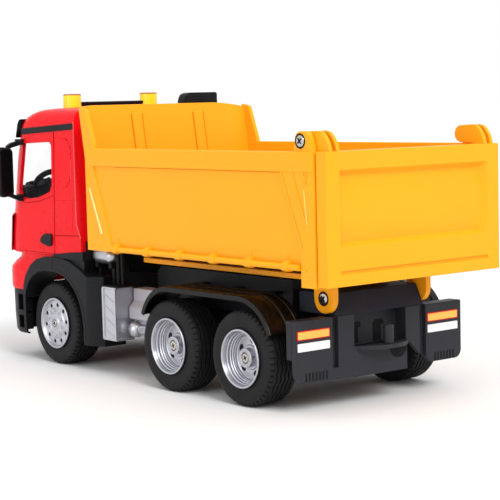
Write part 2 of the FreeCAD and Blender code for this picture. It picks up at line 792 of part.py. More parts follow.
# Load bed
def bed_shell():
    """Floor, two side walls with a top band, corner posts and a headboard that leans forward."""
    outer, inner = "bed_half_width", "bed_half_width - bed_wall"
    floor = box("bed_floor", ("bed_rear_x", "bed_front_x"), ("-bed_half_width", "bed_half_width"),
                ("bed_floor_z", "bed_floor_z + bed_floor_thick"))
    wall = box("bed_side", ("bed_rear_x", "bed_front_x"), (inner, outer), ("bed_floor_z", "bed_top_z"))
    band = box("bed_band", ("bed_rear_x", "bed_front_x - front_post_top_length"),
               (inner, outer + " + band_proud"),
               ("bed_top_z - band_height", "bed_top_z"))
    rear_post = box("bed_rear_post", ("bed_rear_x", "bed_rear_x + rear_post_length"),
                    (inner + " - rear_post_depth", outer + " + band_proud / 2"),
                    ("rear_post_bottom", "bed_top_z"))
    top_x = "bed_front_x + headboard_lean"
    front_post = prism("bed_front_post", "XZ", [
        ("bed_front_x", "bed_floor_z"), ("bed_front_x", "headboard_bend_z"),
        (top_x, "headboard_top_z - front_post_top_drop"),
        ("%s - front_post_top_length" % top_x, "headboard_top_z - 2 * front_post_top_drop"),
        ("bed_front_x - front_post_foot_length", "bed_floor_z")], inner, outer + " + band_proud / 2")
    ear = rod("bed_ear", "hinge_boss_radius", "Y", ("hinge_x", "ear_inner", "hinge_z"),
              "ear_outer - ear_inner")
    ear_neck = box("bed_ear_neck", ("bed_rear_x + ear_setback", "hinge_x + hinge_boss_radius"),
                   ("ear_inner", "ear_outer"), ("bed_top_z - ear_foot_drop", "hinge_z"))
    head = prism("bed_headboard", "XZ", [
        ("bed_front_x - bed_wall", "bed_floor_z"), ("bed_front_x", "bed_floor_z"),
        ("bed_front_x", "headboard_bend_z"),
        (top_x, "headboard_top_z"), (top_x + " - bed_wall", "headboard_top_z"),
        ("bed_front_x - bed_wall", "headboard_bend_z")], "-" + outer, outer)
    blank = prism("head_outline", "YZ", [
        ("-(bed_half_width + band_proud)", "bed_floor_z"), ("bed_half_width + band_proud", "bed_floor_z"),
        ("bed_half_width + band_proud", "headboard_top_z", "headboard_round"),
        ("-(bed_half_width + band_proud)", "headboard_top_z", "headboard_round")],
        "bed_front_x - 2 * front_post_foot_length", "bed_front_x + front_post_foot_length")
    sides = [wall, band, rear_post, front_post, ear, ear_neck]
    sides += [mirrored(p.Name + "_right", p) for p in sides]
    rise = "(headboard_top_z - head_rib_top_gap - headboard_bend_z) / (headboard_top_z - headboard_bend_z)"
    rib_top_x = "bed_front_x + headboard_lean * %s - bed_wall" % rise
    rib = prism("head_rib", "XZ", [
        ("bed_front_x - bed_wall - head_rib_proud", "bed_floor_z"), ("bed_front_x - bed_wall", "bed_floor_z"),
        ("bed_front_x - bed_wall", "headboard_bend_z"), (rib_top_x, "headboard_top_z - head_rib_top_gap"),
        (rib_top_x + " - head_rib_proud", "headboard_top_z - head_rib_top_gap"),
        ("bed_front_x - bed_wall - head_rib_proud", "headboard_bend_z")],
        "head_rib_inner", "head_rib_outer")
    shell = fused("bed_parts", [floor, head, rib, mirrored("head_rib_right", rib)] + sides)
    hinge = rod("gate_pin_bore", "screw_radius", "Y", ("hinge_x", "-ear_outer - 1", "hinge_z"),
                "2 * ear_outer + 2")
    sink = rod("gate_screw_sink", "screw_head_radius", "Y", ("hinge_x", "ear_outer - 1", "hinge_z"),
               "screw_head_radius")
    front_zone = common("bed_front_zone", [shell, blank])
    rear_zone = cut("bed_rear_zone", shell, [box(
        "bed_front_block", ("bed_front_x - 2 * front_post_foot_length",
                            "bed_front_x + front_post_foot_length"),
        ("-2 * bed_half_width", "2 * bed_half_width"), ("0", "2 * headboard_top_z"))])
    node("bed_shell", cut("bed_shell", fused("bed_whole", [front_zone, rear_zone]),
                          [hinge, sink, mirrored("gate_screw_sink_right", sink)]))


def bed_frame():
    beam = box("bed_beam", ("bed_rear_x + bed_beam_rear_gap", "bed_beam_front_x"),
               ("bed_beam_inner", "bed_beam_outer"),
               ("bed_beam_bottom", "bed_floor_z"))
    rear = box("bed_rear_beam", ("bed_rear_x + bed_beam_rear_gap",
                                 "bed_rear_x + bed_beam_rear_gap + bed_rear_beam_length"),
               ("-bed_beam_outer", "bed_beam_outer"), ("bed_beam_bottom + bed_beam_step", "bed_floor_z"))
    lug = rod("bed_lug_end", "lug_radius", "Y", ("pivot_x", "lug_inner", "pivot_z"), "lug_outer - lug_inner")
    web = box("bed_lug_web", ("pivot_x - lug_radius", "pivot_x + lug_radius"), ("lug_inner", "lug_outer"),
              ("pivot_z", "bed_floor_z"))
    tie = box("bed_lug_tie", ("pivot_x - lug_radius", "pivot_x + lug_radius"),
              ("lug_inner", "bed_beam_outer"),
              ("bed_beam_bottom + bed_beam_step", "bed_floor_z"))
    eye = box("ram_eye_cheek", ("ram_eye_x - ram_eye_radius", "ram_eye_x + ram_eye_radius"),
              ("ram_half_width + side_clearance", "ram_half_width + side_clearance + eye_cheek_thick"),
              ("ram_eye_z - ram_eye_radius", "bed_floor_z"))
    sides = [beam, lug, web, tie, eye]
    sides += [mirrored(p.Name + "_right", p) for p in sides]
    frame = fused("bed_frame_parts", [rear] + sides)
    bore = rod("pivot_bore", "screw_radius + running_gap", "Y", ("pivot_x", "-2 * lug_outer", "pivot_z"),
               "4 * lug_outer")
    sink = rod("pivot_sink", "screw_head_radius + running_gap", "Y",
               ("pivot_x", "lug_outer - screw_head_thick - screw_head_gap", "pivot_z"),
               "2 * screw_head_thick")
    node("bed_subframe", cut("bed_subframe", frame, [bore, sink, mirrored("pivot_sink_right", sink)]))


def bed_pipes():
    """A round rail along the foot of each side wall, in evenly spaced clips."""
    pipe = rod("bed_pipe", "pipe_radius", "X", ("pipe_rear_x", "bed_half_width + pipe_radius", "pipe_z"),
               "pipe_front_x - pipe_rear_x")
    starts = ["clip_first_x + %d * clip_pitch" % i for i in range(int(value("clip_count")))]
    clips = [box("pipe_clip_%d" % i, (x, x + " + clip_length"),
                 ("bed_half_width", "bed_half_width + 2 * pipe_radius + clip_proud"),
                 ("pipe_z - pipe_radius - clip_proud", "pipe_z + pipe_radius + clip_proud"))
             for i, x in enumerate(starts)]
    node("bed_side_pipes", pair("bed_side_pipes", fused("bed_pipe_left", [pipe] + clips)))


def screws(label, x, y_tail, y_face, z):
    """Two cross-head screws, one each side, heads outwards."""
    shank = rod(label + "_shank", "screw_radius", "Y", (x, y_tail, z),
                "%s - screw_head_thick - (%s)" % (y_face, y_tail))
    head = rod(label + "_head", "screw_head_radius", "Y", (x, "%s - screw_head_thick" % y_face, z),
               "screw_head_thick")
    node(label, pair(label, fused(label + "_left", [shank, head])))


def tailgate():
    """A framed gate with a creased recess, hung from two pairs of arms."""
    slab = box("gate_slab", ("0", "gate_thick"), ("-gate_half_width", "gate_half_width"),
               ("gate_bottom", "bed_top_z"))
    recess = prism("gate_recess", "XZ", [
        ("-gate_thick", "gate_recess_bottom"), ("0", "gate_recess_bottom"),
        ("gate_recess_depth", "gate_recess_bottom + gate_recess_foot_slope"),
        ("gate_crease_depth", "gate_crease_z"),
        ("gate_recess_depth", "gate_recess_top - gate_recess_head_slope"), ("0", "gate_recess_top"),
        ("-gate_thick", "gate_recess_top")], "-gate_recess_half", "gate_recess_half")
    groove = box("gate_groove", ("-gate_thick", "gate_groove_depth"),
                 ("-gate_recess_half", "gate_recess_half"),
                 ("gate_groove_bottom", "gate_groove_bottom + gate_groove_height"))
    face = cut("gate_face", slab, [recess, groove])
    arms = []
    for name, near, far in (("outer", "arm_outer_near", "arm_outer_far"),
                            ("inner", "arm_inner_near", "arm_inner_far")):
        end = rod("gate_arm_end_" + name, "hinge_boss_radius", "Y", ("hinge_x", near, "hinge_z"),
                  "%s - %s" % (far, near))
        strap = prism("gate_arm_" + name, "XZ", [
            ("arm_foot_x", "bed_top_z - arm_foot_drop"), ("gate_thick", "bed_top_z - arm_foot_drop"),
            ("gate_thick", "bed_top_z + arm_seat_rise"), ("hinge_x", "hinge_z - hinge_boss_radius"),
            ("hinge_x", "hinge_z + hinge_boss_radius"),
            ("hinge_x - arm_crown", "hinge_z + hinge_boss_radius", "arm_round"), ("arm_foot_x", "bed_top_z")],
            near, far)
        arms += [end, strap]
    arms += [mirrored(p.Name + "_right", p) for p in arms]
    bore = rod("gate_arm_bore", "screw_radius + running_gap", "Y", ("hinge_x", "-bed_half_width", "hinge_z"),
               "2 * bed_half_width")
    node("tailgate", cut("tailgate", fused("gate_parts", [face] + arms), [bore]))


# Rear end of the chassis
def rear_bumper():
    """A skin with lamp panels, slots and a notch on the right, a towing box and the crown above them."""
    half = "bumper_half_width"
    plate = prism("bumper_plate", "YZ", [
        ("-" + half, "bumper_bottom", "bumper_corner"), ("-notch_foot", "bumper_bottom"),
        ("-notch_head", "notch_top"),
        ("-tow_box_half_width", "notch_top"), ("-tow_box_half_width", "tow_box_bottom"),
        ("tow_box_half_width", "tow_box_bottom"), (half, "bumper_bottom", "bumper_corner"),
        (half, "bumper_top"), ("-" + half, "bumper_top")], "bumper_rear_x", "bumper_front_x")
    slot = box("bumper_slot", ("bumper_rear_x - 1", "bumper_rear_x + bumper_slot_depth"),
               ("centre_half_width", "lamp_panel_inner"), ("bumper_slot_bottom", "bumper_top + 1"))
    tow = box("tow_box", ("bumper_rear_x", "rail_rear_x"), ("-tow_box_half_width", "tow_box_half_width"),
              ("tow_box_bottom", "bumper_top"))
    crown = prism("rear_panel", "XZ", [
        ("bumper_rear_x", "bumper_top"), ("rear_panel_front_x", "bumper_top"),
        ("rear_panel_front_x", "rear_panel_top"),
        ("rear_panel_top_x", "rear_panel_top")], "-rear_panel_half_width", "rear_panel_half_width")
    crown_side = box("rail_room", ("rail_rear_x", "rear_panel_front_x + 1"), ("-rail_outer", "rail_outer"),
                     ("bumper_top - 1", "rail_top"))
    recess = box("tow_recess", ("bumper_rear_x - 1", "bumper_rear_x + tow_recess_depth"),
                 ("-tow_recess_half_width", "tow_recess_half_width"), ("tow_recess_bottom", "bumper_top - 1"))
    lip = prism("tow_lip", "XY", [
        ("bumper_rear_x + tow_lip_overlap", "-tow_recess_half_width"),
        ("bumper_rear_x + tow_lip_overlap", "tow_recess_half_width"),
        ("tow_lip_x + tow_lip_slope", "tow_recess_half_width - tow_lip_taper", "tow_lip_round"),
        ("tow_lip_x", "tow_lip_nose_half", "tow_lip_nose_round"),
        ("tow_lip_x", "-tow_lip_nose_half", "tow_lip_nose_round"),
        ("tow_lip_x + tow_lip_slope", "-tow_recess_half_width + tow_lip_taper", "tow_lip_round")],
        "tow_recess_bottom - tow_lip_thick", "tow_recess_bottom")
    solid = fused("bumper_solid", [plate, tow, crown])
    shaped = cut("bumper_cut", solid, [slot, mirrored("bumper_slot_right", slot), recess, crown_side])
    bore = rod("pivot_screw_bore", "screw_radius", "Y", ("pivot_x", "-rear_panel_half_width - 1", "pivot_z"),
               "2 * rear_panel_half_width + 2")
    whole = cut("bumper_drilled", fused("bumper_with_lip", [shaped, lip]), [bore])
    node("rear_bumper", whole)
    node("tow_pin", rod("tow_pin", "tow_pin_radius", "Z", ("tow_pin_x", "0", "tow_recess_bottom"),
                        "tow_pin_height"))


def flat_plates(label, bottom, height):
    left = box(label + "_left", ("bumper_rear_x - plate_thick", "bumper_rear_x"),
               ("strip_inner", "strip_outer"),
               (bottom, "%s + %s" % (bottom, height)))
    node(label, pair(label, left))


def rear_fender(side):
    """One long cover over both wheels of a side: a flat top whose ends curve down over the tyres."""

    def profile(name, inset, low, high):
        return prism(name, "XZ", [
            ("fender_rear_x + %s" % inset, "0"), ("fender_front_x - %s" % inset, "0"),
            ("fender_front_x - %s" % inset, "fender_top - %s" % inset, "fender_round - %s" % inset),
            ("fender_rear_x + %s" % inset, "fender_top - %s" % inset, "fender_round - %s" % inset)],
            low, high)

    below = box("fender_below_" + side, ("fender_rear_x - 1", "fender_front_x + 1"),
                ("fender_inner - 1", "fender_outer + 1"),
                ("-1", "fender_end_z"))
    skin = cut("fender_" + side, profile("fender_out_" + side, "0", "fender_inner", "fender_outer"),
               [profile("fender_in_" + side, "fender_thick", "fender_inner - 1", "fender_outer + 1"), below])
    stays = [box("fender_stay_%d" % i, (x + " - fender_stay_half", x + " + fender_stay_half"),
                 ("deck_outer", "fender_inner + 1"),
                 ("fender_top - fender_thick", "fender_top"))
             for i, x in enumerate(("rear_axle_2_x", "(rear_axle_1_x + rear_axle_2_x) / 2", "rear_axle_1_x"))]
    return fused("fender_on_stays", [skin] + stays)


# Cab
def cab_profile(name, inset, low, high):
    inset = "(%s)" % inset
    return prism(name, "XZ", [
        ("cab_rear_x + %s" % inset, "cab_bottom + %s" % inset),
        ("cab_front_x - %s" % inset, "cab_bottom + %s" % inset),
        ("cab_front_x - %s" % inset, "cab_shoulder_z"),
        ("cab_roof_front_x - %s" % inset, "cab_roof_front_z - %s" % inset, "cab_roof_front_round"),
        ("cab_roof_step_x", "cab_roof_z - %s" % inset, "cab_roof_step_round"),
        ("cab_rear_x + %s" % inset, "cab_roof_z - %s" % inset)],
        low, high)


def face_x(height):
    """The station of the raked front face at a height."""
    return "cab_front_x - cab_rake * (%s - cab_shoulder_z) / (cab_roof_front_z - cab_shoulder_z)" % height


def cab_plan(name, inset):
    """A block drawn from above at the shoulder: it runs straight down, and upwards it leans with the face."""
    front = "(cab_front_x - (%s))" % inset
    half = "(cab_half_width - (%s))" % inset
    corner = "(cab_corner - (%s))" % inset
    rear, deep, straight = "(cab_rear_x - 1)", "(%s - %s)" % (front, corner), "(%s - %s)" % (half, corner)
    spots = [(rear, "-" + half), (deep, "-" + half), (front, "-" + straight), (front, straight), (deep, half),
             (rear, half)]
    body = doc.addObject("PartDesign::Body", name)
    sketch = body.newObject("Sketcher::SketchObject", name + "_outline")
    sketch.AttachmentSupport = [(f, "") for f in body.Origin.OriginFeatures if f.Role == PLANES["XY"]]
    sketch.MapMode = "FlatFace"
    points = [FreeCAD.Vector(value(across), value(up), 0) for across, up in spots]
    quarter, radius = math.pi / 2, value(corner)
    for i in range(len(points)):
        if i in (1, 3):
            centre = FreeCAD.Vector(value(deep), value(straight) * (i - 2), 0)
            circle = Part.Circle(centre, FreeCAD.Vector(0, 0, 1), radius)
            sketch.addGeometry(Part.ArcOfCircle(circle, quarter * (i - 3) / 2, quarter * (i - 1) / 2))
        else:
            sketch.addGeometry(Part.LineSegment(points[i], points[(i + 1) % len(points)]))
    for i in range(len(points)):
        sketch.addConstraint(Sketcher.Constraint("Coincident", i, 2, (i + 1) % len(points), 1))
    for i, (across, up) in enumerate(spots):
        for kind, text, number in (("DistanceX", across, points[i].x), ("DistanceY", up, points[i].y)):
            held = sketch.addConstraint(Sketcher.Constraint(kind, -1, 1, i, 1, number))
            sketch.setExpression("Constraints[%d]" % held, formula(text))
    for i in (1, 3):
        held = sketch.addConstraint(Sketcher.Constraint("Radius", i, radius))
        sketch.setExpression("Constraints[%d]" % held, formula(corner))
    place(body, 0, 0, "cab_shoulder_z")
    low = body.newObject("PartDesign::Pad", name + "_low")
    low.Profile = sketch
    low.Reversed = True
    bind(low, "Length", "cab_shoulder_z - cab_bottom + 1")
    high = body.newObject("PartDesign::Pad", name + "_high")
    high.Profile = sketch
    high.UseCustomVector = True
    high.AlongSketchNormal = True
    for axis, text in (("x", "-cab_rake"), ("y", "0"), ("z", "cab_roof_front_z - cab_shoulder_z")):
        bind(high, "Direction." + axis, text)
    bind(high, "Length", "cab_roof_z - cab_shoulder_z + cab_roof_slope")
    return body


def cab_solid(name, inset):
    """The whole cab as a solid block, an inset inside its outer faces."""
    half = "(cab_half_width - (%s))" % inset
    return common(name, [cab_profile(name + "_side", inset, "-" + half, half),
                         cab_plan(name + "_plan", inset)])


def cab_skin(name, thick, x, y, z):
    """A layer that lies on the cab's outer faces inside a block."""
    layer = common(name + "_layer", [cab_solid(name + "_out", "-" + thick), box(name + "_zone", x, y, z)])
    return cut(name, layer, [cab_solid(name + "_seat", "0")])


def door_window(name, low, high):
    return prism(name, "XZ", [
        ("window_rear_x", "window_dip_z"), ("window_kink_x", "window_kink_z"),
        ("window_front_x", "window_bottom"),
        ("window_front_x - window_lean", "window_top"), ("window_rear_x", "window_top")], low, high)


def screen_zone(name):
    """The block ahead of the seats that the windscreen's opening and its pane share."""
    return box(name, ("cab_front_x - screen_zone_depth", "cab_front_x + 1"),
               ("-screen_half_width", "screen_half_width"),
               ("screen_bottom", "screen_top"))


def cab_shell():
    window = door_window("cab_window", "-cab_half_width - 1", "cab_half_width + 1")
    node("cab_shell", cut("cab_shell", cab_solid("cab_outer", "0"),
                          [cab_solid("cab_inner", "cab_wall"), window, screen_zone("cab_screen")]))


def cab_glass():
    """Two door panes and the windscreen, each let into its opening."""
    pane = door_window("door_pane", "cab_half_width - glass_gap - glass_thick", "cab_half_width - glass_gap")
    outer = common("screen_block", [cab_solid("screen_out", "glass_gap"), screen_zone("screen_part")])
    screen = cut("windscreen", outer, [cab_solid("screen_in", "glass_gap + glass_thick")])
    node("cab_glass", together("cab_glass", [pane, mirrored("door_pane_right", pane), screen]))


def cab_inside():
    """A dashboard, two seats and the steering wheel on its column."""
    low = "cab_bottom + cab_wall"
    front = "cab_front_x - cab_rake - cab_wall"
    node("dashboard", prism("dashboard", "XZ", [
        ("%s - dash_depth" % front, low), (front, low), (front, "screen_bottom - dash_below_screen"),
        ("%s - dash_top_depth" % front, "screen_bottom - dash_below_screen"),
        ("%s - dash_depth" % front, "screen_bottom - dash_below_screen - dash_drop")],
        "-screen_half_width + dash_side_gap", "screen_half_width - dash_side_gap"))
    back = "cab_rear_x + seat_rear_gap"
    seat = prism("seat", "XZ", [
        (back, low), ("%s + seat_depth" % back, low), ("%s + seat_depth" % back, low + " + seat_height"),
        ("%s + seat_fold" % back, low + " + seat_height - seat_sag"),
        ("%s + seat_back_thick" % back, low + " + seat_back_height"), (back, low + " + seat_back_height")],
        "seat_inner", "seat_outer")
    node("seats", pair("seats", seat))
    hub = ("%s - dash_depth - steering_gap + steering_radius" % front, "steering_y", "screen_bottom")
    ring = doc.addObject("Part::Torus", "steering_ring")
    bind(ring, "Radius1", "steering_radius")
    bind(ring, "Radius2", "steering_tube")
    ring.Placement.Rotation = FreeCAD.Rotation(FreeCAD.Vector(0, 1, 0), -value("steering_rake"))
    place(ring, *hub)
    column = doc.addObject("Part::Cylinder", "steering_column")
    bind(column, "Radius", "steering_column_radius")
    bind(column, "Height", "steering_column_length")
    column.Placement.Rotation = FreeCAD.Rotation(FreeCAD.Vector(0, 1, 0), 180 - value("steering_rake"))
    place(column, *hub)
    spokes = rod("steering_spokes", "steering_tube", "Y", (hub[0], "steering_y - steering_radius", hub[2]),
                 "2 * steering_radius")
    node("steering_wheel", fused("steering_wheel", [ring, column, spokes]))


def roof_items():
    """Two beacons joined by a low bar, and the air intake with its duct behind the cab."""
    base = "cab_roof_z"
    side = ("roof_bar_x - roof_bar_half_width", "roof_bar_x + roof_bar_half_width")
    bar = box("roof_bar_tube", side, ("-(beacon_y - beacon_radius)", "beacon_y - beacon_radius"),
              (base + " + roof_bar_lift", base + " + roof_bar_lift + roof_bar_thick"))
    foot_ends = (("left", "roof_bar_foot_y"), ("right", "-roof_bar_foot_y - roof_bar_foot_length"))
    feet = [box("roof_bar_foot_" + name, side, (y, y + " + roof_bar_foot_length"),
                (base, base + " + roof_bar_lift"))
            for name, y in foot_ends]
    node("roof_bar", fused("roof_bar_whole", [bar] + feet))
    lamp = rod("beacon", "beacon_radius", "Z", ("beacon_x", "beacon_y", base), "beacon_height")
    node("beacons", pair("beacons", lamp))
    right = "intake_y - intake_width / 2"
    neck = "intake_top - intake_head_height"
    node("air_intake", fused("air_intake", [
        box("intake_head", ("intake_rear_x", "cab_rear_x"), (right, right + " + intake_width"),
            (neck, "intake_top")),
        box("intake_duct", ("intake_rear_x + intake_duct_setback", "cab_rear_x"),
            (right, right + " + intake_duct_width"),
            ("cab_bottom + intake_duct_rise", neck))]))


def mirrors():
    """A tall housing each side on two arms that stand on the cab's round corner."""
    shell = box("mirror_shell", ("mirror_x - mirror_depth / 2", "mirror_x + mirror_depth / 2"),
                ("mirror_y - mirror_width / 2", "mirror_y + mirror_width / 2"),
                ("mirror_bottom", "mirror_top"))
    ends = (("top", "mirror_top - arm_end_gap"), ("foot", "mirror_bottom + arm_end_gap"))
    arms = [rod("mirror_arm_" + name, "arm_radius", "Y", ("mirror_x", "cab_half_width - arm_root", z),
                "mirror_y - cab_half_width + arm_root")
            for name, z in ends]
    left = cut("mirror_left", fused("mirror_on_arms", [shell] + arms), [cab_solid("mirror_seat", "0")])
    node("mirrors", pair("mirrors", left))


def cab_trim():
    """The stripe and the door handle of each side, and the visor that wraps the cab's brow."""
    side = "cab_half_width"
    handle = box("door_handle", ("handle_x", "handle_x + handle_length"), (side, side + " + handle_proud"),
                 ("handle_z", "handle_z + handle_height"))
    node("cab_side_trim", pair("cab_side_trim", cab_skin(
        "cab_stripe", "trim_proud", ("trim_rear_x", "trim_front_x"), ("0", side + " + trim_proud"),
        ("trim_z", "trim_z + trim_height"))))
    node("door_handles", pair("door_handles", handle))
    node("sun_visor", cab_skin(
        "sun_visor", "visor_proud", ("visor_rear_x", "cab_front_x"),
        ("-%s - visor_proud" % side, side + " + visor_proud"), ("visor_bottom", "visor_top")))


def front_end():
    """The bumper on two stays, the skirt with the steps below it and the grille on the cab's face."""
    half = "front_bumper_half_width"
    inner = "(%s - front_bumper_side_wall)" % half
    tight = "(%s - front_bumper_inner_corner)" % half
    back = "truck_length - front_bumper_wall"

    def wrap(name, low, high):
        return prism(name, "XY", [
            ("front_bumper_rear_x", "-" + half), ("truck_length", "-" + half, "front_bumper_corner"),
            ("truck_length", half, "front_bumper_corner"), ("front_bumper_rear_x", half),
            ("front_bumper_rear_x", inner), (back + " - front_bumper_inner_corner", inner), (back, tight),
            (back, "-" + tight), (back + " - front_bumper_inner_corner", "-" + inner),
            ("front_bumper_rear_x", "-" + inner)], low, high)

    bumper = wrap("bumper_skin", "front_bumper_bottom", "front_bumper_top")
    stays = [box("bumper_stay_" + name, ("rail_front_x", back + " + 1"), (y, y + " + rail_thick"),
                 ("front_bumper_bottom", "rail_top"))
             for name, y in (("left", "rail_outer - rail_thick"), ("right", "-rail_outer"))]
    node("front_bumper", fused("bumper_on_stays", [bumper] + stays))
    node("front_skirt", wrap("skirt_skin", "step_bottom", "front_bumper_bottom"))
    node("grille", cut("grille", box("grille_block", (face_x("grille_top"), "cab_front_x + grille_thick"),
                                     ("-grille_half_width", "grille_half_width"),
                                     ("grille_bottom", "grille_top")),
                       [cab_solid("grille_seat", "0")]))


def front_arches():
    """A wheel arch each side: a block over the wheel with a round opening, and a rear leg."""
    block = prism("arch_block", "XZ", [
        ("arch_rear_x", "arch_leg_bottom"), ("arch_rear_x + arch_leg_length", "arch_leg_bottom"),
        ("front_axle_x - arch_radius", "tyre_radius + arch_foot_rise"),
        ("arch_front_x", "tyre_radius + arch_front_rise"),
        ("arch_front_x", "cab_bottom - arch_drop"), ("arch_front_x - arch_front_slope", "cab_bottom"),
        ("arch_rear_x + arch_rear_slope", "cab_bottom"),
        ("arch_rear_x + arch_rear_lean", "cab_bottom - arch_rear_drop")], "arch_inner_y", "arch_outer_y")
    opening = rod("arch_opening", "arch_radius", "Y", ("front_axle_x", "arch_inner_y - 1", "tyre_radius"),
                  "arch_outer_y - arch_inner_y + 2")
    node("front_arches", pair("arch_pair", cut("arch_left", block, [opening])))


def side_units():
    """The silver box and the stepped block behind it, the fuel tank and the two air tanks."""
    panel = box("side_box", ("box_rear_x", "box_front_x"), ("deck_outer", "box_outer"),
                ("box_bottom", "box_top"))
    stack = box("side_stack", ("stack_rear_x", "box_rear_x"), ("deck_outer", "stack_outer"),
                ("box_bottom + stack_inset", "box_top - stack_inset"))
    node("battery_box", fused("battery_box", [panel, stack]))
    corner = "fuel_tank_round"
    node("fuel_tank", prism("fuel_tank", "YZ", [
        ("-box_outer", "box_bottom", corner), ("-deck_outer", "box_bottom", corner),
        ("-deck_outer", "box_top", corner),
        ("-box_outer", "box_top", corner)], "fuel_tank_rear_x", "box_front_x"))
    air = rod("air_tank", "air_tank_radius", "X", ("air_tank_rear_x", "air_tank_y", "air_tank_z"),
              "air_tank_length")
    starts = ("air_tank_rear_x + air_post_gap", "box_front_x - air_post_gap - air_post_length")
    posts = [box("tank_post_%d" % i, (x, x + " + air_post_length"),
                 ("air_tank_y - air_post_half_width", "air_tank_y + air_post_half_width"),
                 ("box_top", "air_tank_z"))
             for i, x in enumerate(starts)]
    node("air_tanks", pair("air_tank_pair", fused("air_tank_left", [air] + posts)))


def lift_ram():
    """The ram lying under the bed, drawn along the line from its base pin to its rod's eye."""
    base = FreeCAD.Vector(value("ram_base_x - truck_length / 2"), 0, value("ram_base_z"))
    eye = FreeCAD.Vector(value("ram_eye_x - truck_length / 2"), 0, value("ram_eye_z"))
    along = (eye - base).normalize()
    reach = (eye - base).Length
    half = value("ram_half_width")
    barrel_length = value("ram_length")
    gap = value("running_gap")
    rod_radius = value("ram_rod_radius")
    rod_start = value("ram_rod_start")
    pin = value("ram_pin_radius")
    side = FreeCAD.Vector(0, 1, 0)

    def knuckle_eye(centre):
        return Part.makeCylinder(value("ram_eye_radius"), 2 * half, centre - side * half, side)

    barrel = Part.makeCylinder(value("ram_radius"), barrel_length, base, along).fuse(knuckle_eye(base))
    rod_space = Part.makeCylinder(rod_radius + gap, barrel_length, base + along * value("ram_base_wall"),
                                  along)
    base_bore = Part.makeCylinder(pin + gap, 2 * half + 2, base - side * (half + 1), side)
    cylinder = doc.addObject("Part::Feature", "lift_cylinder")
    cylinder.Shape = barrel.cut(rod_space).cut(base_bore)
    rod_shape = Part.makeCylinder(rod_radius, reach - rod_start, base + along * rod_start,
                                  along).fuse(knuckle_eye(eye))
    pin_half = half + value("ram_pin_proud")
    eye_pin = Part.makeCylinder(pin, 2 * pin_half, eye - side * pin_half, side)
    ram_rod = doc.addObject("Part::Feature", "lift_rod")
    ram_rod.Shape = rod_shape.fuse(eye_pin)
    node("lift_cylinder", cylinder)
    node("lift_rod", ram_rod)
    pin_end = "(rail_outer - rail_thick / 2)"
    node("ram_base_pin", rod("ram_base_pin", "ram_pin_radius", "Y",
                             ("ram_base_x", "-" + pin_end, "ram_base_z"),
                             "2 * " + pin_end))


chassis_frame()
deck_cases()
battery_case()
axles()
knuckle("left", "")
knuckle("right", "-")
for spec in WHEELS:
    wheel(*spec)
bed_shell()
bed_frame()
bed_pipes()
tailgate()
screws("tailgate_screws", "hinge_x", "arm_inner_near", "ear_outer + screw_face_proud", "hinge_z")
screws("bed_pivot_screws", "pivot_x", "rear_panel_half_width - pivot_screw_sink", "lug_outer", "pivot_z")
rear_bumper()
flat_plates("reflector_strips", "strip_bottom", "strip_height")
flat_plates("number_plates", "plate_bottom", "plate_height")
left_fender = rear_fender("left")
node("rear_fender_left", left_fender)
node("rear_fender_right", mirrored("fender_right", left_fender))
cab_shell()
cab_glass()
cab_inside()
roof_items()
mirrors()
cab_trim()
front_end()
front_arches()
side_units()
lift_ram()

doc.recompute()
for obj in doc.Objects:
    bad = [state for state in obj.State if state in ("Invalid", "Error")]
    if bad:
        raise RuntimeError("%s is %s" % (obj.Name, bad))
for obj in NODES:
    if obj.Shape.isNull() or not obj.Shape.isValid():
        raise RuntimeError("%s has a bad shape" % obj.Label)
for obj in NODES:
    obj.Shape.exportStep("parts/%s.step" % obj.Label)
    bounds = obj.Shape.BoundBox
    print("%-20s %d solids %9.1f mm3  X %7.1f %7.1f  Y %7.1f %7.1f  Z %6.1f %6.1f" % (
        obj.Label, len(obj.Shape.Solids), obj.Shape.Volume,
        bounds.XMin, bounds.XMax, bounds.YMin, bounds.YMax, bounds.ZMin, bounds.ZMax))
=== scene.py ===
import json
import math

import bmesh
import bpy
from mathutils import Matrix, Vector


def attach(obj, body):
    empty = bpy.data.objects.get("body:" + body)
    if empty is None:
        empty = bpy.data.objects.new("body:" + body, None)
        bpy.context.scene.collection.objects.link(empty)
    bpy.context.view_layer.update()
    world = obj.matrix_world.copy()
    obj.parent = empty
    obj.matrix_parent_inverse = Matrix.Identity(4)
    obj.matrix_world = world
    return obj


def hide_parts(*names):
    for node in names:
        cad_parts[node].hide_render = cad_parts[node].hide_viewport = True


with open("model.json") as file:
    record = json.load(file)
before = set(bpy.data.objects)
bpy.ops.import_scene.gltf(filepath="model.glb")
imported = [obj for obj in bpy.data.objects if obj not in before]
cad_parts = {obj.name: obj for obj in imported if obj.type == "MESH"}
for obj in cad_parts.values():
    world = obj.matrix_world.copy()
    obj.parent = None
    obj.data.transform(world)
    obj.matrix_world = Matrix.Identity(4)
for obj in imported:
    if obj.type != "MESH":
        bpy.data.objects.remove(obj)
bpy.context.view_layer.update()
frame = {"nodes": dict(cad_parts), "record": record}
MM = 0.001
HALF_LENGTH = 170.5
print("parts loaded:", len(frame["nodes"]))

# %% [markdown]
# Every measure below is a station from the tail, a distance to the left and a height.
# One small helper turns those three into Blender's metres, so no other line has to.
# %% From stations to metres


def at(station, left, height):
    """A place on the truck, given in millimetres, as a point in metres."""
    return Vector(((station - HALF_LENGTH) * MM, left * MM, height * MM))


print("the tail is at", at(0, 0, 0))

# %% [markdown]
# Moulded plastic is never one flat colour. Its tone drifts a little over a hand's width, its
# gloss is uneven, and its skin has a fine grain. Edges of a moulding are slightly round, and a
# Bevel node lends that look to the plain parts without touching their shape.
# One helper makes all the plastics, the rubber and the plated finishes.
# %% A helper for moulded and plated finishes
CLOUD_SIZE = 45
SMEARS_PER_METRE = 140


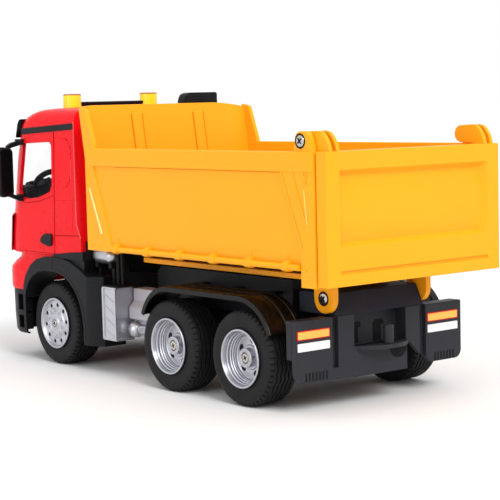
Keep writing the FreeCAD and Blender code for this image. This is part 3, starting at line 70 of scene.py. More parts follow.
def linear(red, green, blue):
    """Screen colour from 0 to 255 as the shader's linear colour."""
    levels = [c / 255 for c in (red, green, blue)]
    return [c / 12.92 if c <= 0.04045 else ((c + 0.055) / 1.055) ** 2.4 for c in levels] + [1]


def finish(name, colour, rough, drift=0.05, grain=0.4, grain_size=0.5, edge=0.35, metal=0.0, coat=0.0,
           shift=0.05, shine=0.5):
    """grain is the height of the skin's grain in hundredths of a millimetre, grain_size its width in mm."""
    material = bpy.data.materials.new(name)
    material.use_nodes = True
    nodes, links = material.node_tree.nodes, material.node_tree.links
    shader = nodes["Principled BSDF"]
    place = nodes.new("ShaderNodeTexCoord")

    def noise(scale, detail):
        """A cloudy pattern that stays fixed to the piece."""
        pattern = nodes.new("ShaderNodeTexNoise")
        pattern.inputs["Scale"].default_value = scale
        pattern.inputs["Detail"].default_value = detail
        links.new(place.outputs["Object"], pattern.inputs["Vector"])
        return pattern.outputs["Fac"]

    cloud = noise(1000 / CLOUD_SIZE, 5)
    tone = nodes.new("ShaderNodeValToRGB")
    for element, position, level in zip(tone.color_ramp.elements, (0.3, 0.7), (1 - drift, 1 + drift)):
        element.position = position
        element.color = [min(1, c * level) for c in colour[:3]] + [1]
    links.new(cloud, tone.inputs["Fac"])
    links.new(tone.outputs["Color"], shader.inputs["Base Color"])

    smear = noise(SMEARS_PER_METRE, 3)
    gloss = nodes.new("ShaderNodeMapRange")
    gloss.inputs["From Min"].default_value = 0.3
    gloss.inputs["From Max"].default_value = 0.7
    gloss.inputs["To Min"].default_value = max(0.02, rough - shift)
    gloss.inputs["To Max"].default_value = min(1, rough + shift)
    links.new(smear, gloss.inputs["Value"])
    links.new(gloss.outputs["Result"], shader.inputs["Roughness"])

    skin = noise(1000 / grain_size, 2)
    bump = nodes.new("ShaderNodeBump")
    bump.inputs["Strength"].default_value = 1
    bump.inputs["Distance"].default_value = grain * 0.01 * MM
    links.new(skin, bump.inputs["Height"])
    round_edge = nodes.new("ShaderNodeBevel")
    round_edge.samples = 6
    round_edge.inputs["Radius"].default_value = edge * MM
    links.new(round_edge.outputs["Normal"], bump.inputs["Normal"])
    links.new(bump.outputs["Normal"], shader.inputs["Normal"])

    shader.inputs["Metallic"].default_value = metal
    shader.inputs["Coat Weight"].default_value = coat
    shader.inputs["Specular IOR Level"].default_value = shine
    return material


# %% [markdown]
# The load bed is a warm orange-yellow with a satin gloss and the cab a clean signal red.
# The blacks differ more in gloss than in tone: the bumper and the arches are satin, the rear
# fenders shine like lacquer, and the frame is dull.
# %% The truck's finishes
FINISH = {
    "bed_orange": finish("bed orange plastic", linear(255, 172, 24), 0.4, drift=0.02, coat=0.05, shine=0.18),
    "cab_red": finish("cab red plastic", linear(240, 12, 26), 0.3, drift=0.02, coat=0.03, shine=0.12),
    "black_plastic": finish("satin black plastic", linear(22, 23, 26), 0.42, drift=0.06, shine=0.12),
    "frame_black": finish("dull black plastic", linear(12, 12, 13), 0.55, drift=0.1, shine=0.2),
    "gloss_black": finish("lacquered black plastic", linear(9, 9, 10), 0.24, drift=0.05, grain=0.02,
                          shift=0.02, shine=0.2),
    "cabin_black": finish("cabin black plastic", linear(12, 12, 13), 0.6, drift=0.1, shine=0.15),
    "tyre_rubber": finish("tyre rubber", linear(22, 22, 24), 0.6, drift=0.12, grain=1.0, grain_size=0.6,
                          edge=0.25, shine=0.2),
    "silver_plastic": finish("silver plated plastic", linear(188, 189, 196), 0.3, drift=0.02, metal=0.9,
                             grain=0.03, shift=0.02),
    "soft_black": finish("matt black panel", linear(46, 50, 60), 0.6, drift=0.05, shine=0.1),
    "bumper_black": finish("bumper plastic", linear(46, 47, 52), 0.42, drift=0.05, shine=0.15),
    "bed_shade": finish("shadow in the bed's mouldings", linear(226, 138, 12), 0.5, drift=0.02, shine=0.05),
    "shut_line": finish("shadow in a shut line", linear(150, 6, 18), 0.6, drift=0.02, shine=0.05),
    # A painted highlight: pale red lines where light catches the cab's rear edge.
    "red_highlight": finish("painted highlight on a red edge", linear(255, 100, 106), 0.3, drift=0.02, shine=0.3),
    "light_grey": finish("light grey plastic", linear(176, 174, 182), 0.4, drift=0.03, shine=0.3),
    # Glossy ribs: the gloss is real, and their paler orange is a painted highlight.
    "bed_gleam": finish("polished rib with a painted highlight", linear(255, 190, 70), 0.1, drift=0.02, coat=1.0, grain=0.05,
                        edge=0.1),
    "screw_steel": finish("zinc plated steel", linear(190, 186, 180), 0.22, drift=0.08, metal=1.0, grain=0.05,
                          shift=0.03),
    "reflector": finish("amber reflective strip", linear(255, 196, 92), 0.35, drift=0.03, shine=0.3),
    "plate_white": finish("white label", linear(236, 238, 240), 0.35, drift=0.02),
    "beacon_yellow": finish("beacon yellow plastic", linear(255, 236, 12), 0.2, drift=0.03, coat=0.2,
                            grain=0.1),
    # A painted reflection: the dark roof bar mirrored in each beacon's top edge.
    "beacon_painted_reflection": finish("painted reflection on a beacon's rim", linear(166, 96, 20), 0.2, drift=0.04, grain=0.1),
}
print("finishes:", ", ".join(FINISH))

# %% [markdown]
# The windows are clear plastic with a faint grey tint. A thin sheet of it lets nearly all light
# straight through, so the sheet's alpha is close to nothing, which keeps the panes clear and clean.
# %% The window finish
glass = bpy.data.materials.new("tinted window plastic")
glass.use_nodes = True
glass_inputs = glass.node_tree.nodes["Principled BSDF"].inputs
glass_inputs["Base Color"].default_value = linear(100, 104, 112)
glass_inputs["Roughness"].default_value = 0.05
glass_inputs["Alpha"].default_value = 0.045
FINISH["window_tint"] = glass

# %% [markdown]
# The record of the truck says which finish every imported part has, so one loop dresses them all.
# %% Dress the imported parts
SLOT_OF = {part["node"]: part["material_slot"] for part in frame["record"]["subparts"]}
BODY_OF = {node: body for body, members in frame["record"]["behaviour"]["bodies"].items() for node in members}
for node, part in frame["nodes"].items():
    part.data.materials.clear()
    part.data.materials.append(FINISH[SLOT_OF[node]])
    part.data.set_sharp_from_angle(angle=math.radians(30))
print("dressed", len(SLOT_OF), "parts")

# %% [markdown]
# New pieces start as a small bmesh shape: a cube, a cone or a flat outline. Extruding an outline
# gives a moulded plate, which is how most flat parts of the truck are made.
# %% Boxes, plates and bars


def verts_of(result):
    """The vertices among what an operator has made."""
    return [g for g in result["geom"] if isinstance(g, bmesh.types.BMVert)]


def block(shape, stations, lefts, heights):
    """A box between two stations, two distances to the left and two heights."""
    low = at(stations[0], lefts[0], heights[0])
    high = at(stations[1], lefts[1], heights[1])
    place = Matrix.Translation((low + high) / 2) @ Matrix.Diagonal((*(high - low), 1))
    bmesh.ops.create_cube(shape, size=1, matrix=place)


def plate(shape, outline, across, low, high):
    """A flat outline given thickness along "left", "station" or "height", from low to high.
    Its corners are then (station, height), (left, height) or (station, left), and a third number
    is the radius that rounds a corner."""
    spot = {"left": lambda u, v: at(u, low, v), "station": lambda u, v: at(low, u, v),
            "height": lambda u, v: at(u, v, low)}[across]
    step = {"left": Vector((0, 1, 0)), "station": Vector((1, 0, 0)), "height": Vector((0, 0, 1))}[across]
    corners = [shape.verts.new(spot(*corner[:2])) for corner in outline]
    face = shape.faces.new(corners)
    for radius in sorted({corner[2] for corner in outline if len(corner) == 3}):
        chosen = [v for v, corner in zip(corners, outline) if len(corner) == 3 and corner[2] == radius]
        rounded = bmesh.ops.bevel(shape, geom=chosen, offset=radius * MM, affect="VERTICES", segments=6,
                                  profile=0.5, material=-1)
        face = next(iter(rounded["verts"][0].link_faces))
    top = verts_of(bmesh.ops.extrude_face_region(shape, geom=[face]))
    bmesh.ops.translate(shape, vec=step * (high - low) * MM, verts=top)


def bar(shape, start, end, radius, end_radius=None, sides=24):
    """A round bar, or a cone, between two points in metres."""
    along = end - start
    place = Matrix.Translation((start + end) / 2) @ along.to_track_quat("Z", "Y").to_matrix().to_4x4()
    bmesh.ops.create_cone(shape, cap_ends=True, segments=sides, radius1=radius * MM,
                          radius2=(radius if end_radius is None else end_radius) * MM,
                          depth=along.length, matrix=place)


def line_along(shape, spots, radius, left, sides=6):
    """A thin round line through spots given as station and height, on a side wall."""
    for start, end in zip(spots, spots[1:]):
        bar(shape, at(start[0], left, start[1]), at(end[0], left, end[1]), radius, sides=sides)


def on_side(side, near, far):
    """A stretch of the truck's width on its left, where side is 1, or on its right, where it is -1."""
    return sorted((side * near, side * far))


# %% [markdown]
# Turning a profile round an axle gives a ring, and bridging rows of edges gives a skin. A plane
# cuts new edges into a shape, so that a patch between them can be pressed in.
# %% Rings, skins and cuts


def chain(shape, spots, closed=False):
    """New vertices at the spots, and the edges that join each one to the next."""
    verts = [shape.verts.new(spot) for spot in spots]
    following = verts[1:] + (verts[:1] if closed else [])
    return verts, [shape.edges.new(pair) for pair in zip(verts, following)]


def turn_round(shape, spots, centre, axis, steps):
    """Turns a line through the spots all the way about an axis."""
    verts, edges = chain(shape, spots)
    bmesh.ops.spin(shape, geom=verts + edges, cent=centre, axis=axis, angle=math.tau, steps=steps,
                   use_merge=True)


def lathe(shape, profile, centre, outward, steps):
    """Turns a profile of (outward distance, radius) points about an axle along the truck's width."""
    spots = [centre + Vector((0, out * outward * MM, radius * MM)) for out, radius in profile]
    turn_round(shape, spots, centre, (0, 1, 0), steps)


def bridge_rows(shape, rows):
    """Joins each row of edges to the next one by faces."""
    for low, high in zip(rows, rows[1:]):
        bmesh.ops.bridge_loops(shape, edges=low + high)


def slice_at(shape, spot, across, clear=False):
    """Cuts new edges into a shape along a plane, and can clear away what lies beyond it."""
    bmesh.ops.bisect_plane(shape, geom=shape.verts[:] + shape.edges[:] + shape.faces[:], plane_co=at(*spot),
                           plane_no=across, clear_outer=clear)


def score(shape, stations=(), lefts=(), heights=()):
    """Cuts new edges round a shape at stations, at distances to the left and at heights."""
    for station in stations:
        slice_at(shape, (station, 0, 0), (1, 0, 0))
    for left in lefts:
        slice_at(shape, (0, left, 0), (0, 1, 0))
    for height in heights:
        slice_at(shape, (0, 0, height), (0, 0, 1))


def middle_of(face):
    """The middle of a face as a station, a distance to the left and a height."""
    return face.calc_center_median() / MM + Vector((HALF_LENGTH, 0, 0))


def sink(shape, faces, push):
    """Presses a patch of faces into a shape and leaves walls round it."""
    for vert in verts_of(bmesh.ops.extrude_face_region(shape, geom=faces)):
        vert.co += push
    bmesh.ops.delete(shape, geom=faces, context="FACES")


# %% [markdown]
# No moulding has a knife edge, so a shape's edges are rounded before it is finished. Most parts
# are drawn on the left and mirrored. The last helper turns a finished shape into an object that
# rides on a body of the truck.
# %% Edges, twins and finished pieces
TOUCHING = 0.00001


def round_edges(shape, width, angle=30, segments=2, only=None):
    """Rounds the edges where faces meet at more than an angle."""
    bmesh.ops.recalc_face_normals(shape, faces=shape.faces)
    sharp = [e for e in shape.edges if len(e.link_faces) == 2 and e.calc_face_angle(0) > math.radians(angle)
             and (only is None or only(e))]
    bmesh.ops.bevel(shape, geom=sharp, offset=width * MM, affect="EDGES", segments=segments, profile=0.5,
                    clamp_overlap=True, material=-1)


def mirror(shape):
    """Adds the same geometry on the truck's other side."""
    twin = bmesh.ops.duplicate(shape, geom=shape.verts[:] + shape.edges[:] + shape.faces[:])
    bmesh.ops.scale(shape, vec=(1, -1, 1), verts=verts_of(twin))
    bmesh.ops.reverse_faces(shape, faces=[g for g in twin["geom"] if isinstance(g, bmesh.types.BMFace)])


def add_into(target, shape):
    """Adds a shape to another one, so that each can have its own edges rounded beforehand."""
    mesh = bpy.data.meshes.new("added shape")
    shape.to_mesh(mesh)
    shape.free()
    target.from_mesh(mesh)
    bpy.data.meshes.remove(mesh)


def piece(name, shape, finish_name, node, extra=False, smooth=35, merge=True):
    """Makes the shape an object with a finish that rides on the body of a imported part.
    It stands for that part, unless it is extra."""
    if merge:
        bmesh.ops.remove_doubles(shape, verts=shape.verts, dist=TOUCHING)
    bmesh.ops.recalc_face_normals(shape, faces=shape.faces)
    mesh = bpy.data.meshes.new(name)
    shape.to_mesh(mesh)
    shape.free()
    mesh.shade_smooth()
    mesh.set_sharp_from_angle(angle=math.radians(smooth))
    mesh.materials.append(FINISH[finish_name])
    made = bpy.data.objects.new(name, mesh)
    bpy.context.scene.collection.objects.link(made)
    made.modifiers.new("even shading", "WEIGHTED_NORMAL").keep_sharp = True
    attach(made, BODY_OF[node])
    if not extra:
        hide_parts(node)
    print(name, len(mesh.polygons), "faces")


# %% [markdown]
# The tyres are soft rubber with a round shoulder. Their tread has five zigzag grooves, and small
# notches are cut into each shoulder. The whole section, grooves included, is drawn once and turned
# about the axle. The zigzag comes after that, by shifting the groove rings to and fro.
# %% Wheel places and the tyre's section
TYRE_RADIUS = 27
LIP_OUT = 11.2
WHEELS = {}
for axle, station, lip in (("front", 277, 57.5), ("rear_1", 140.5, 66), ("rear_2", 73.5, 66)):
    for side_name, outward in (("left", 1), ("right", -1)):
        WHEELS[axle + "_" + side_name] = (at(station, outward * (lip - LIP_OUT), TYRE_RADIUS), outward)
TURN_STEPS = 192
TYRE_SIDE = [(9.2, 15.4), (9.3, 16.2), (9.5, 17.2), (9.9, 17.7), (9.9, 18.4), (9.65, 18.8), (9.95, 21),
             (10, 22.6), (9.9, 24.2), (9.6, 25.3), (9.0, 26.2), (7.9, 26.8)]
GROOVES = (-5.6, -2.8, 0, 2.8, 5.6)
GROOVE_FLOOR = 25.7


def tyre_profile():
    """The tyre's closed section: one side, the grooved crown and the other side."""
    points = [(-out, radius) for out, radius in TYRE_SIDE]
    for groove in GROOVES:
        crown = TYRE_RADIUS - 0.2 * (groove / 6) ** 2
        points += [(groove - 0.5, crown), (groove - 0.3, GROOVE_FLOOR), (groove + 0.3, GROOVE_FLOOR),
                   (groove + 0.5, crown)]
    return points + TYRE_SIDE[::-1] + points[:1]


# %% Tyres
NOTCH_EVERY, NOTCH_DEPTH = 4, 0.9
ZIGZAG_STEPS, ZIGZAG_WIDTH = 8, 0.42


def make_tyre(name, centre, outward):
    """Turns a tyre's section, cuts the shoulder's notches and bends the grooves into zigzags."""
    shape = bmesh.new()
    lathe(shape, tyre_profile(), centre, outward, TURN_STEPS)
    bmesh.ops.remove_doubles(shape, verts=shape.verts, dist=TOUCHING)
    notches = {}
    for face in shape.faces:
        middle = face.calc_center_median() - centre
        radius = math.hypot(middle.x, middle.z) / MM
        turn = math.floor(math.atan2(middle.z, middle.x) / math.tau * TURN_STEPS + 0.01)
        if 25.2 < radius < 26.6 and abs(middle.y) / MM > 8.2 and turn % NOTCH_EVERY == 0:
            notches.setdefault((turn, middle.y > 0), []).append(face)
    for faces in notches.values():
        bottom = verts_of(bmesh.ops.extrude_face_region(shape, geom=faces))
        bmesh.ops.delete(shape, geom=faces, context="FACES")
        inward = centre - sum((v.co for v in bottom), Vector()) / len(bottom)
        bmesh.ops.translate(shape, vec=inward.normalized() * NOTCH_DEPTH * MM, verts=bottom)
    for vert in shape.verts:
        spot = vert.co - centre
        if abs(spot.y) < 6.2 * MM and math.hypot(spot.x, spot.z) > 25 * MM:
            beat = math.atan2(spot.z, spot.x) / math.tau * TURN_STEPS / ZIGZAG_STEPS % 1
            vert.co.y += (abs(beat - 0.5) * 4 - 1) * ZIGZAG_WIDTH * MM
    piece("tyre_" + name + "_tread", shape, "tyre_rubber", "tyre_" + name, smooth=40)


for name, (centre, outward) in WHEELS.items():
    make_tyre(name, centre, outward)

# %% [markdown]
# The rims are plated plastic. A rear rim is a deep dish: a rolled lip, a stepped barrel, a floor
# with oval hand holes and a raised hub. A front rim is shallow, with a ring of hand holes and
# wheel nuts round a domed cap. Each is one profile turned about the axle, with the small parts
# set on it afterwards.
# %% Rim profiles
RIM_LIP = [(-8, 12.6), (-8, 15.2), (9.9, 15.2), (9.9, 16.1), (10.3, 16.5), (10.9, 16.55), (11.2, 16.2),
           (11.15, 15.6)]
REAR_RIM = RIM_LIP + [(10.7, 15.25), (8.4, 14.75), (8.0, 14.3), (6.6, 14.1), (6.3, 13.6), (5.4, 13.45),
                      (5.1, 13.0), (4.3, 12.9), (3.9, 12.5), (3.0, 12.3), (2.7, 11.9), (2.7, 7.2),
                      (3.5, 6.6), (3.5, 5.6), (6.9, 5.5), (7.2, 5.2), (7.2, 3.4), (6.7, 3.2), (6.7, 0)]
FRONT_RIM = RIM_LIP + [(10.7, 15.2), (9.5, 14.8), (9.2, 14.4), (9.4, 13.6), (9.4, 10.4), (9.8, 9.6),
                       (10.3, 9.2), (10.4, 6.6), (10.1, 6.3), (10.2, 4.4), (10.7, 3.9), (11.0, 2.6),
                       (11.0, 0)]
RIM_BACK = [(-8, 12.6), (-8.2, 12.4), (0.5, 11.4), (0.5, 4.4)]

# %% [markdown]
# What differs between the two kinds is a short table. A ring of small parts is given as their
# count, the ring's radius and how far out it lies. A nut or a screw's head is given as how proud
# it stands and its radii at the foot and the tip.
# %% What sits on the rims
RIMS = {
    "front": {"profile": FRONT_RIM, "nuts": (10, 7.9, 10.35), "nut": (0.75, 0.95, 0.8),
              "bosses": (10, 12.1, 9.4),
              "holes": (10, 12.1, 9.66), "hole": (1.3, 1.3), "seat": 11.0, "head": (0.35, 2.3, 1.9)},
    "rear": {"profile": REAR_RIM, "nuts": (8, 4.3, 7.2), "nut": (0.4, 0.5, 0.45), "bosses": (0, 0, 0),
             "holes": (5, 9.5, 2.71), "hole": (1.6, 2.3), "seat": 6.7, "head": (0.35, 2.9, 2.5)},
}


def round_of(count, radius, out, centre, outward, start):
    """Evenly spaced points on a circle about the axle."""
    for i in range(count):
        turn = start + math.tau * i / count
        spot = Vector((math.cos(turn) * radius * MM, out * outward * MM, math.sin(turn) * radius * MM))
        yield centre + spot, turn


def crossed_slots(shape, crown, start, length, thick, width):
    """Two crossed bars on the crown of a screw's head."""
    for turn in (start, start + math.pi / 2):
        place = Matrix.Translation(crown) @ Matrix.Rotation(turn, 4, "Y")
        bmesh.ops.create_cube(shape, size=1,
                              matrix=place @ Matrix.Diagonal((length * MM, thick * MM, width * MM, 1)))


# %% Rims


def make_rim(name, centre, outward):
    """A rim with its nuts, flat dark ovals of painted shade for its hand holes, and the screw that holds it.
    """
    rim = RIMS[name.split("_")[0]]
    node = "rim_" + name
    away = Vector((0, outward * MM, 0))
    shape = bmesh.new()
    for profile in (rim["profile"], RIM_BACK):
        lathe(shape, profile, centre, outward, 72)
    proud, foot, tip = rim["nut"]
    for spot, _ in round_of(*rim["nuts"], centre, outward, 0.3):
        bar(shape, spot - away * 0.3, spot + away * proud, foot, tip, sides=6)
    for spot, _ in round_of(*rim["bosses"], centre, outward, 1.75):
        bar(shape, spot - away * 0.4, spot + away * 0.25, 1.9, 1.65, sides=20)
    bmesh.ops.remove_doubles(shape, verts=shape.verts, dist=TOUCHING)
    piece(node + "_plated", shape, "silver_plastic", node)

    # The hand holes are not cut: a flat black oval, just proud of the floor, is painted shade where each hole
    # looks dark.
    holes = bmesh.new()
    for spot, turn in round_of(*rim["holes"], centre, outward, 1.75):
        oval = Matrix.Translation(spot) @ Matrix.Rotation(-turn, 4, "Y")
        oval = oval @ Matrix.Rotation(math.pi / 2, 4, "X") @ Matrix.Diagonal((*rim["hole"], 1, 1))
        bmesh.ops.create_circle(holes, cap_ends=True, segments=20, radius=MM, matrix=oval)
    for face in holes.faces:
        if face.normal.y * outward < 0:
            face.normal_flip()
    bmesh.ops.translate(holes, vec=away * 0.03, verts=holes.verts)
    piece(node + "_hand_holes", holes, "frame_black", node, extra=True, merge=False)

    screw, cross = bmesh.new(), bmesh.new()
    head = centre + away * rim["seat"]
    proud, foot, tip = rim["head"]
    bar(screw, head - away * 0.5, head + away * proud, foot, tip, sides=32)
    piece(node + "_screw", screw, "screw_steel", node, extra=True)
    # The dark cross and the dark ring round the head are painted shade in the screw's recess and in the hole
    # it sits in.
    crossed_slots(cross, head + away * 0.4, 0.5, 2.6, 0.16, 0.6)
    rim_edge = foot + 0.2
    lathe(cross, [(0.02, rim_edge - 0.3), (0.12, rim_edge - 0.25), (0.12, rim_edge), (0.02, rim_edge + 0.05)],
          head, outward, 32)
    piece(node + "_screw_cross", cross, "frame_black", node, extra=True)


for name, (centre, outward) in WHEELS.items():
    make_rim(name, centre, outward)

# %% [markdown]
# The load bed is one moulding. Each side wall is a long section, slightly tucked in along its
# foot, with a top band standing proud of it. Flat posts close the wall at both ends, and all
# edges are a little round so that they catch the light.
# %% The bed's floor, walls and posts
HINGE = (18.5, 147.2)
REAR, FRONT = 9.4, 221.4
bed = bmesh.new()
plate(bed, [(63, 79), (64.2, 79), (65, 87.5), (65, 141.2), (64.6, 141.7), (63.3, 141.7), (63, 141.4)],
      "station", REAR, FRONT)
plate(bed, [(64.5, 130.9), (65.9, 130.9), (66.3, 131.5), (66.3, 141.2), (65.9, 141.7), (64.5, 141.7)],
      "station", REAR, 213)
plate(bed, [(8.6, 70.6), (19.8, 70.6), (19.8, 87), (34.9, 131), (8.6, 131)], "left", 62, 65.9)
block(bed, (8.7, 11), (62.2, 65.8), (130, 141.6))
plate(bed, [(194.4, 79), (FRONT, 79), (FRONT, 135), (226.9, 166.6, 1), (219.7, 165.3, 1.2), (211.4, 143.2, 2),
            (213, 131)], "left", 63.1, 65.9)
plate(bed, [(211.5, 141.7), (213.5, 141.7), (FRONT, 163.6), (219.6, 163.8)], "left", 65.2, 66.2)
plate(bed, [(9.7, 141), (24.8, 141), (23.4, 146.5), (23.4, 152.3, 4.5), (13.6, 152.3, 2.4), (11.4, 148.4)],
      "left", 62, 65.4)
bar(bed, at(HINGE[0], 64, HINGE[1]), at(HINGE[0], 65.8, HINGE[1]), 4.7, 4.5, sides=40)
bmesh.ops.remove_doubles(bed, verts=bed.verts, dist=0.1 * TOUCHING)
round_edges(bed, 0.35)

# %% Small mouldings on the side walls
CLIP_MIDDLES = [30.4 + 31.7 * clip for clip in range(6)]
trim, shade = bmesh.new(), bmesh.new()
for start, end in (((34.6, 130.8), (18.6, 90.5)), ((25.6, 131), (15.8, 104.7)),
                   ((17.2, 130.9), (14.7, 124.3)),
                   ((14.5, 131), (15.5, 124.5))):
    line_along(trim, (start, end), 0.55, 65.8, sides=8)
    line_along(shade, ((start[0] - 0.9, start[1] - 0.4), (end[0] - 0.9, end[1] + 0.4)), 0.3, 65.75)
for station, height, radius in ((15.1, 81, 1.15), (15.1, 75.2, 1.15), (215.4, 82.6, 0.9), (206.5, 82.6, 0.9)):
    bar(trim, at(station, 65.3, height), at(station, 66.6, height), radius, radius * 0.7, sides=20)
for middle in CLIP_MIDDLES:
    block(trim, (middle - 0.5, middle + 0.5), (64, 65.4), (84.6, 88.2))
round_edges(trim, 0.15)
add_into(bed, trim)
mirror(bed)
block(bed, (REAR, 221.3), (-63.4, 63.4), (79.1, 81.5))

# %% Shadow lines, and glossy ribs with a painted highlight
BEND = 135
line_along(shade, ((36, 130.7), (192, 130.7)), 0.28, 64.95)
line_along(shade, ((19.9, 86.9), (35.2, 130.4)), 0.28, 64.95)
mirror(shade)
for left in (-28.4, -20.1, 20.1, 28.4):
    line_along(shade, ((219.35, 83), (219.35, BEND), (223.9, 162.3)), 0.3, left)
piece("bed_shadow_lines", shade, "bed_shade", "bed_shell", extra=True)
gleam = bmesh.new()
bar(gleam, at(217.4, 65.9, 117.3), at(205.2, 65.9, 89.3), 0.65, 1.05, sides=20)
bar(gleam, at(16.4, 65.8, 122), at(14.6, 65.8, 104), 0.45, sides=12)
mirror(gleam)
piece("post_ribs", gleam, "bed_gleam", "bed_shell", extra=True)

# %% [markdown]
# The headboard stands higher than the sides and leans towards the cab above a bend. It is drawn
# upright as a flat plate with its sloping top corners, cut across at the bend, and everything
# above the cut is then sheared forward. Two broad flat ribs stiffen its rear face.
# %% The headboard


def lean(verts):
    """Shears what lies above the bend towards the cab."""
    for vert in verts:
        rise = vert.co.z - BEND * MM
        if rise > 0:
            vert.co.x += rise * 5.5 / 33


def off_the_bend(edge):
    """Tells the plate's own edges from those that the cut leaves along the bend."""
    return any(abs(vert.co.z - BEND * MM) > 0.1 * MM for vert in edge.verts)


head = bmesh.new()
top_corners = [(65, 167.3, 1), (57, 168, 3), (-42, 168, 6), (-55, 166.5, 3), (-65, 164.8, 1)]
plate(head, [(-65, 79), (65, 79)] + top_corners, "station", 219.6, FRONT)
for side in (-1, 1):
    plate(head, [(side * 20.5, 81.6), (side * 28, 81.6), (side * 28, 162.3), (side * 20.5, 162.3)], "station",
          218.95, 219.7)
score(head, heights=[BEND])
round_edges(head, 0.5, only=off_the_bend)
lean(head.verts)
add_into(bed, head)
piece("load_bed", bed, "bed_orange", "bed_shell")

# %% [markdown]
# A round rail runs along the foot of each side wall. It is held by six clips that wrap it.
# %% The side rails
rails = bmesh.new()
bar(rails, at(20.5, 66.7, 81), at(194, 66.7, 81), 1.7, sides=24)
for middle in CLIP_MIDDLES:
    plate(rails, [(64.3, 78.7), (67, 78.4), (68.6, 79.4), (69, 81), (68.6, 82.6), (67, 83.8), (64.3, 84.8)],
          "station", middle - 2.5, middle + 2.5)
round_edges(rails, 0.2, angle=60)
mirror(rails)
piece("bed_rails_and_clips", rails, "bed_orange", "bed_side_pipes")

# %% [markdown]
# The tailgate is a framed plate. Its field is sunk and folded outwards along a crease, so the
# field's ends are slanted. The rear face of a slab is cut along the field's outline, and that
# patch is pushed in: deep at its top and foot and shallow at the crease.
# %% The tailgate's plate
FIELD_FOOT, CREASE, FIELD_TOP = 91.8, 107.5, 132
GROOVE_FOOT, GROOVE_TOP = 77.7, 79.4
gate = bmesh.new()
block(gate, (0, 7.7), (-65, 65), (71.3, 141.7))
score(gate, lefts=(-55.5, 55.5), heights=(GROOVE_FOOT, GROOVE_TOP, FIELD_FOOT, CREASE, FIELD_TOP))


def rear_patch(shape, low, high):
    """The faces of the slab's rear side, between two heights, inside the frame."""
    return [f for f in shape.faces if f.normal.x < -0.9 and abs(f.calc_center_median().y) < 55 * MM
            and low * MM < f.calc_center_median().z < high * MM]


# %% [markdown]
# Each height of the field has its own push: how deep it goes in, how far its ends tuck in, and how
# far it moves up. The groove below the field is pressed straight in.
# %% The tailgate's field and groove
PUSH = {FIELD_TOP: (4, 3.4, -2.8), CREASE: (1.6, 1.2, 0), FIELD_FOOT: (4, 5, 2.2)}
gate.normal_update()
field_patch = rear_patch(gate, FIELD_FOOT, FIELD_TOP)
groove_patch = rear_patch(gate, GROOVE_FOOT, GROOVE_TOP)
for vert in verts_of(bmesh.ops.extrude_face_region(gate, geom=field_patch)):
    deep, tuck, rise = min((abs(vert.co.z / MM - height), push) for height, push in PUSH.items())[1]
    vert.co += Vector((deep * MM, -math.copysign(tuck * MM, vert.co.y), rise * MM))
for vert in verts_of(bmesh.ops.extrude_face_region(gate, geom=groove_patch)):
    vert.co.x += 1.2 * MM
bmesh.ops.delete(gate, geom=field_patch + groove_patch, context="FACES")
round_edges(gate, 0.45)

# %% The tailgate's arms
arms = bmesh.new()
for near, far in ((59, 61.7), (54, 56.7)):
    bar(arms, at(HINGE[0], near, HINGE[1]), at(HINGE[0], far, HINGE[1]), 4.85, sides=40)
    plate(arms, [(0.5, 141.4), (1, 138.7), (8, 138.7), (9.5, 142), (18.5, 142.4), (18.5, 152.05),
                 (9, 152.5, 2), (6.1, 151.5, 1), (3.7, 148.8), (1.9, 146.1)], "left", near + 0.1, far - 0.1)
round_edges(arms, 0.4, angle=28)
mirror(arms)
add_into(gate, arms)
piece("tailgate_plate_and_arms", gate, "bed_orange", "tailgate")

# %% [markdown]
# Two beams carry the bed. Each shows a narrow bright flange, and above it a black strip is painted shade
# under the bed's side. Behind the rear wheels two rounded lugs hang from them and take the pivot screws, and
# a fork takes the ram.
# %% The bed's beams, lugs and ram fork
beams, beam_shade = bmesh.new(), bmesh.new()
block(beams, (15.4, 196), (38, 42), (70.8, 73.8))
block(beams, (15.4, 18), (36, 42), (71.4, 79))
# The black strip above each flange is painted shade under the bed.
block(beam_shade, (16, 195.5), (37, 38.6), (73.6, 79.2))
plate(beams, [(26.9, 79), (26.9, 60.8), (27.2, 58.6), (28.2, 56.2), (29.8, 54.3), (32.2, 53), (34.8, 52.6),
              (37.4, 53), (39.8, 54.3), (41.4, 56.2), (42.4, 58.6), (42.7, 60.8), (42.7, 66.5, 1),
              (44.8, 67.5), (44.8, 79)], "left",
              33.4, 37.2)
block(beams, (26.5, 45), (36.8, 42), (71.4, 79))
block(beams, (74.1, 82.1), (5.3, 7.3), (69, 79))
round_edges(beams, 0.4)
mirror(beams)
block(beams, (15.4, 23.4), (-42, 42), (71.4, 79))
mirror(beam_shade)
piece("bed_beams_and_lugs", beams, "bed_orange", "bed_subframe")
piece("bed_beam_painted_shade", beam_shade, "frame_black", "bed_subframe", extra=True)

# %% [markdown]
# The screws are pan heads with a cross recess, sunk in a hole; a thin black ring round each head is painted
# shade in that hole. The recess is two crossed slots cut into the crown of a short dome, which here are two
# thin dark bars just proud of the crown: painted shade that reads the same at this size and keeps the dome
# whole.
# %% Cross-head screws
PIVOT = (34.8, 60.8)
SCREW_HEAD = [(-1.2, 0), (-1.2, 3.2), (0.1, 3.2), (0.55, 2.9), (0.8, 2.2), (0.9, 1.2), (0.92, 0)]
HOLE_RIM = [(0.25, 0), (0.25, 4.0), (0.4, 4.05), (0.4, 3.1)]
for name, node, (station, height), crown_left in (("gate_screw", "tailgate_screws", HINGE, 65.5),
                                                  ("pivot_screw", "bed_pivot_screws", PIVOT, 37.1)):
    heads, slots = bmesh.new(), bmesh.new()
    for side in (-1, 1):
        crown = at(station, side * crown_left, height)
        lathe(heads, SCREW_HEAD, crown, side, 40)
        # Painted shade: dark bars in the cross recess and a dark ring in the hole round the head.
        crossed_slots(slots, crown + Vector((0, side * 0.76 * MM, 0)), 0.7, 3.9, 0.45, 0.95)
        lathe(slots, HOLE_RIM, crown, side, 40)
    piece(name + "_heads", heads, "screw_steel", node)
    piece(name + "_slots", slots, "frame_black", node, extra=True)

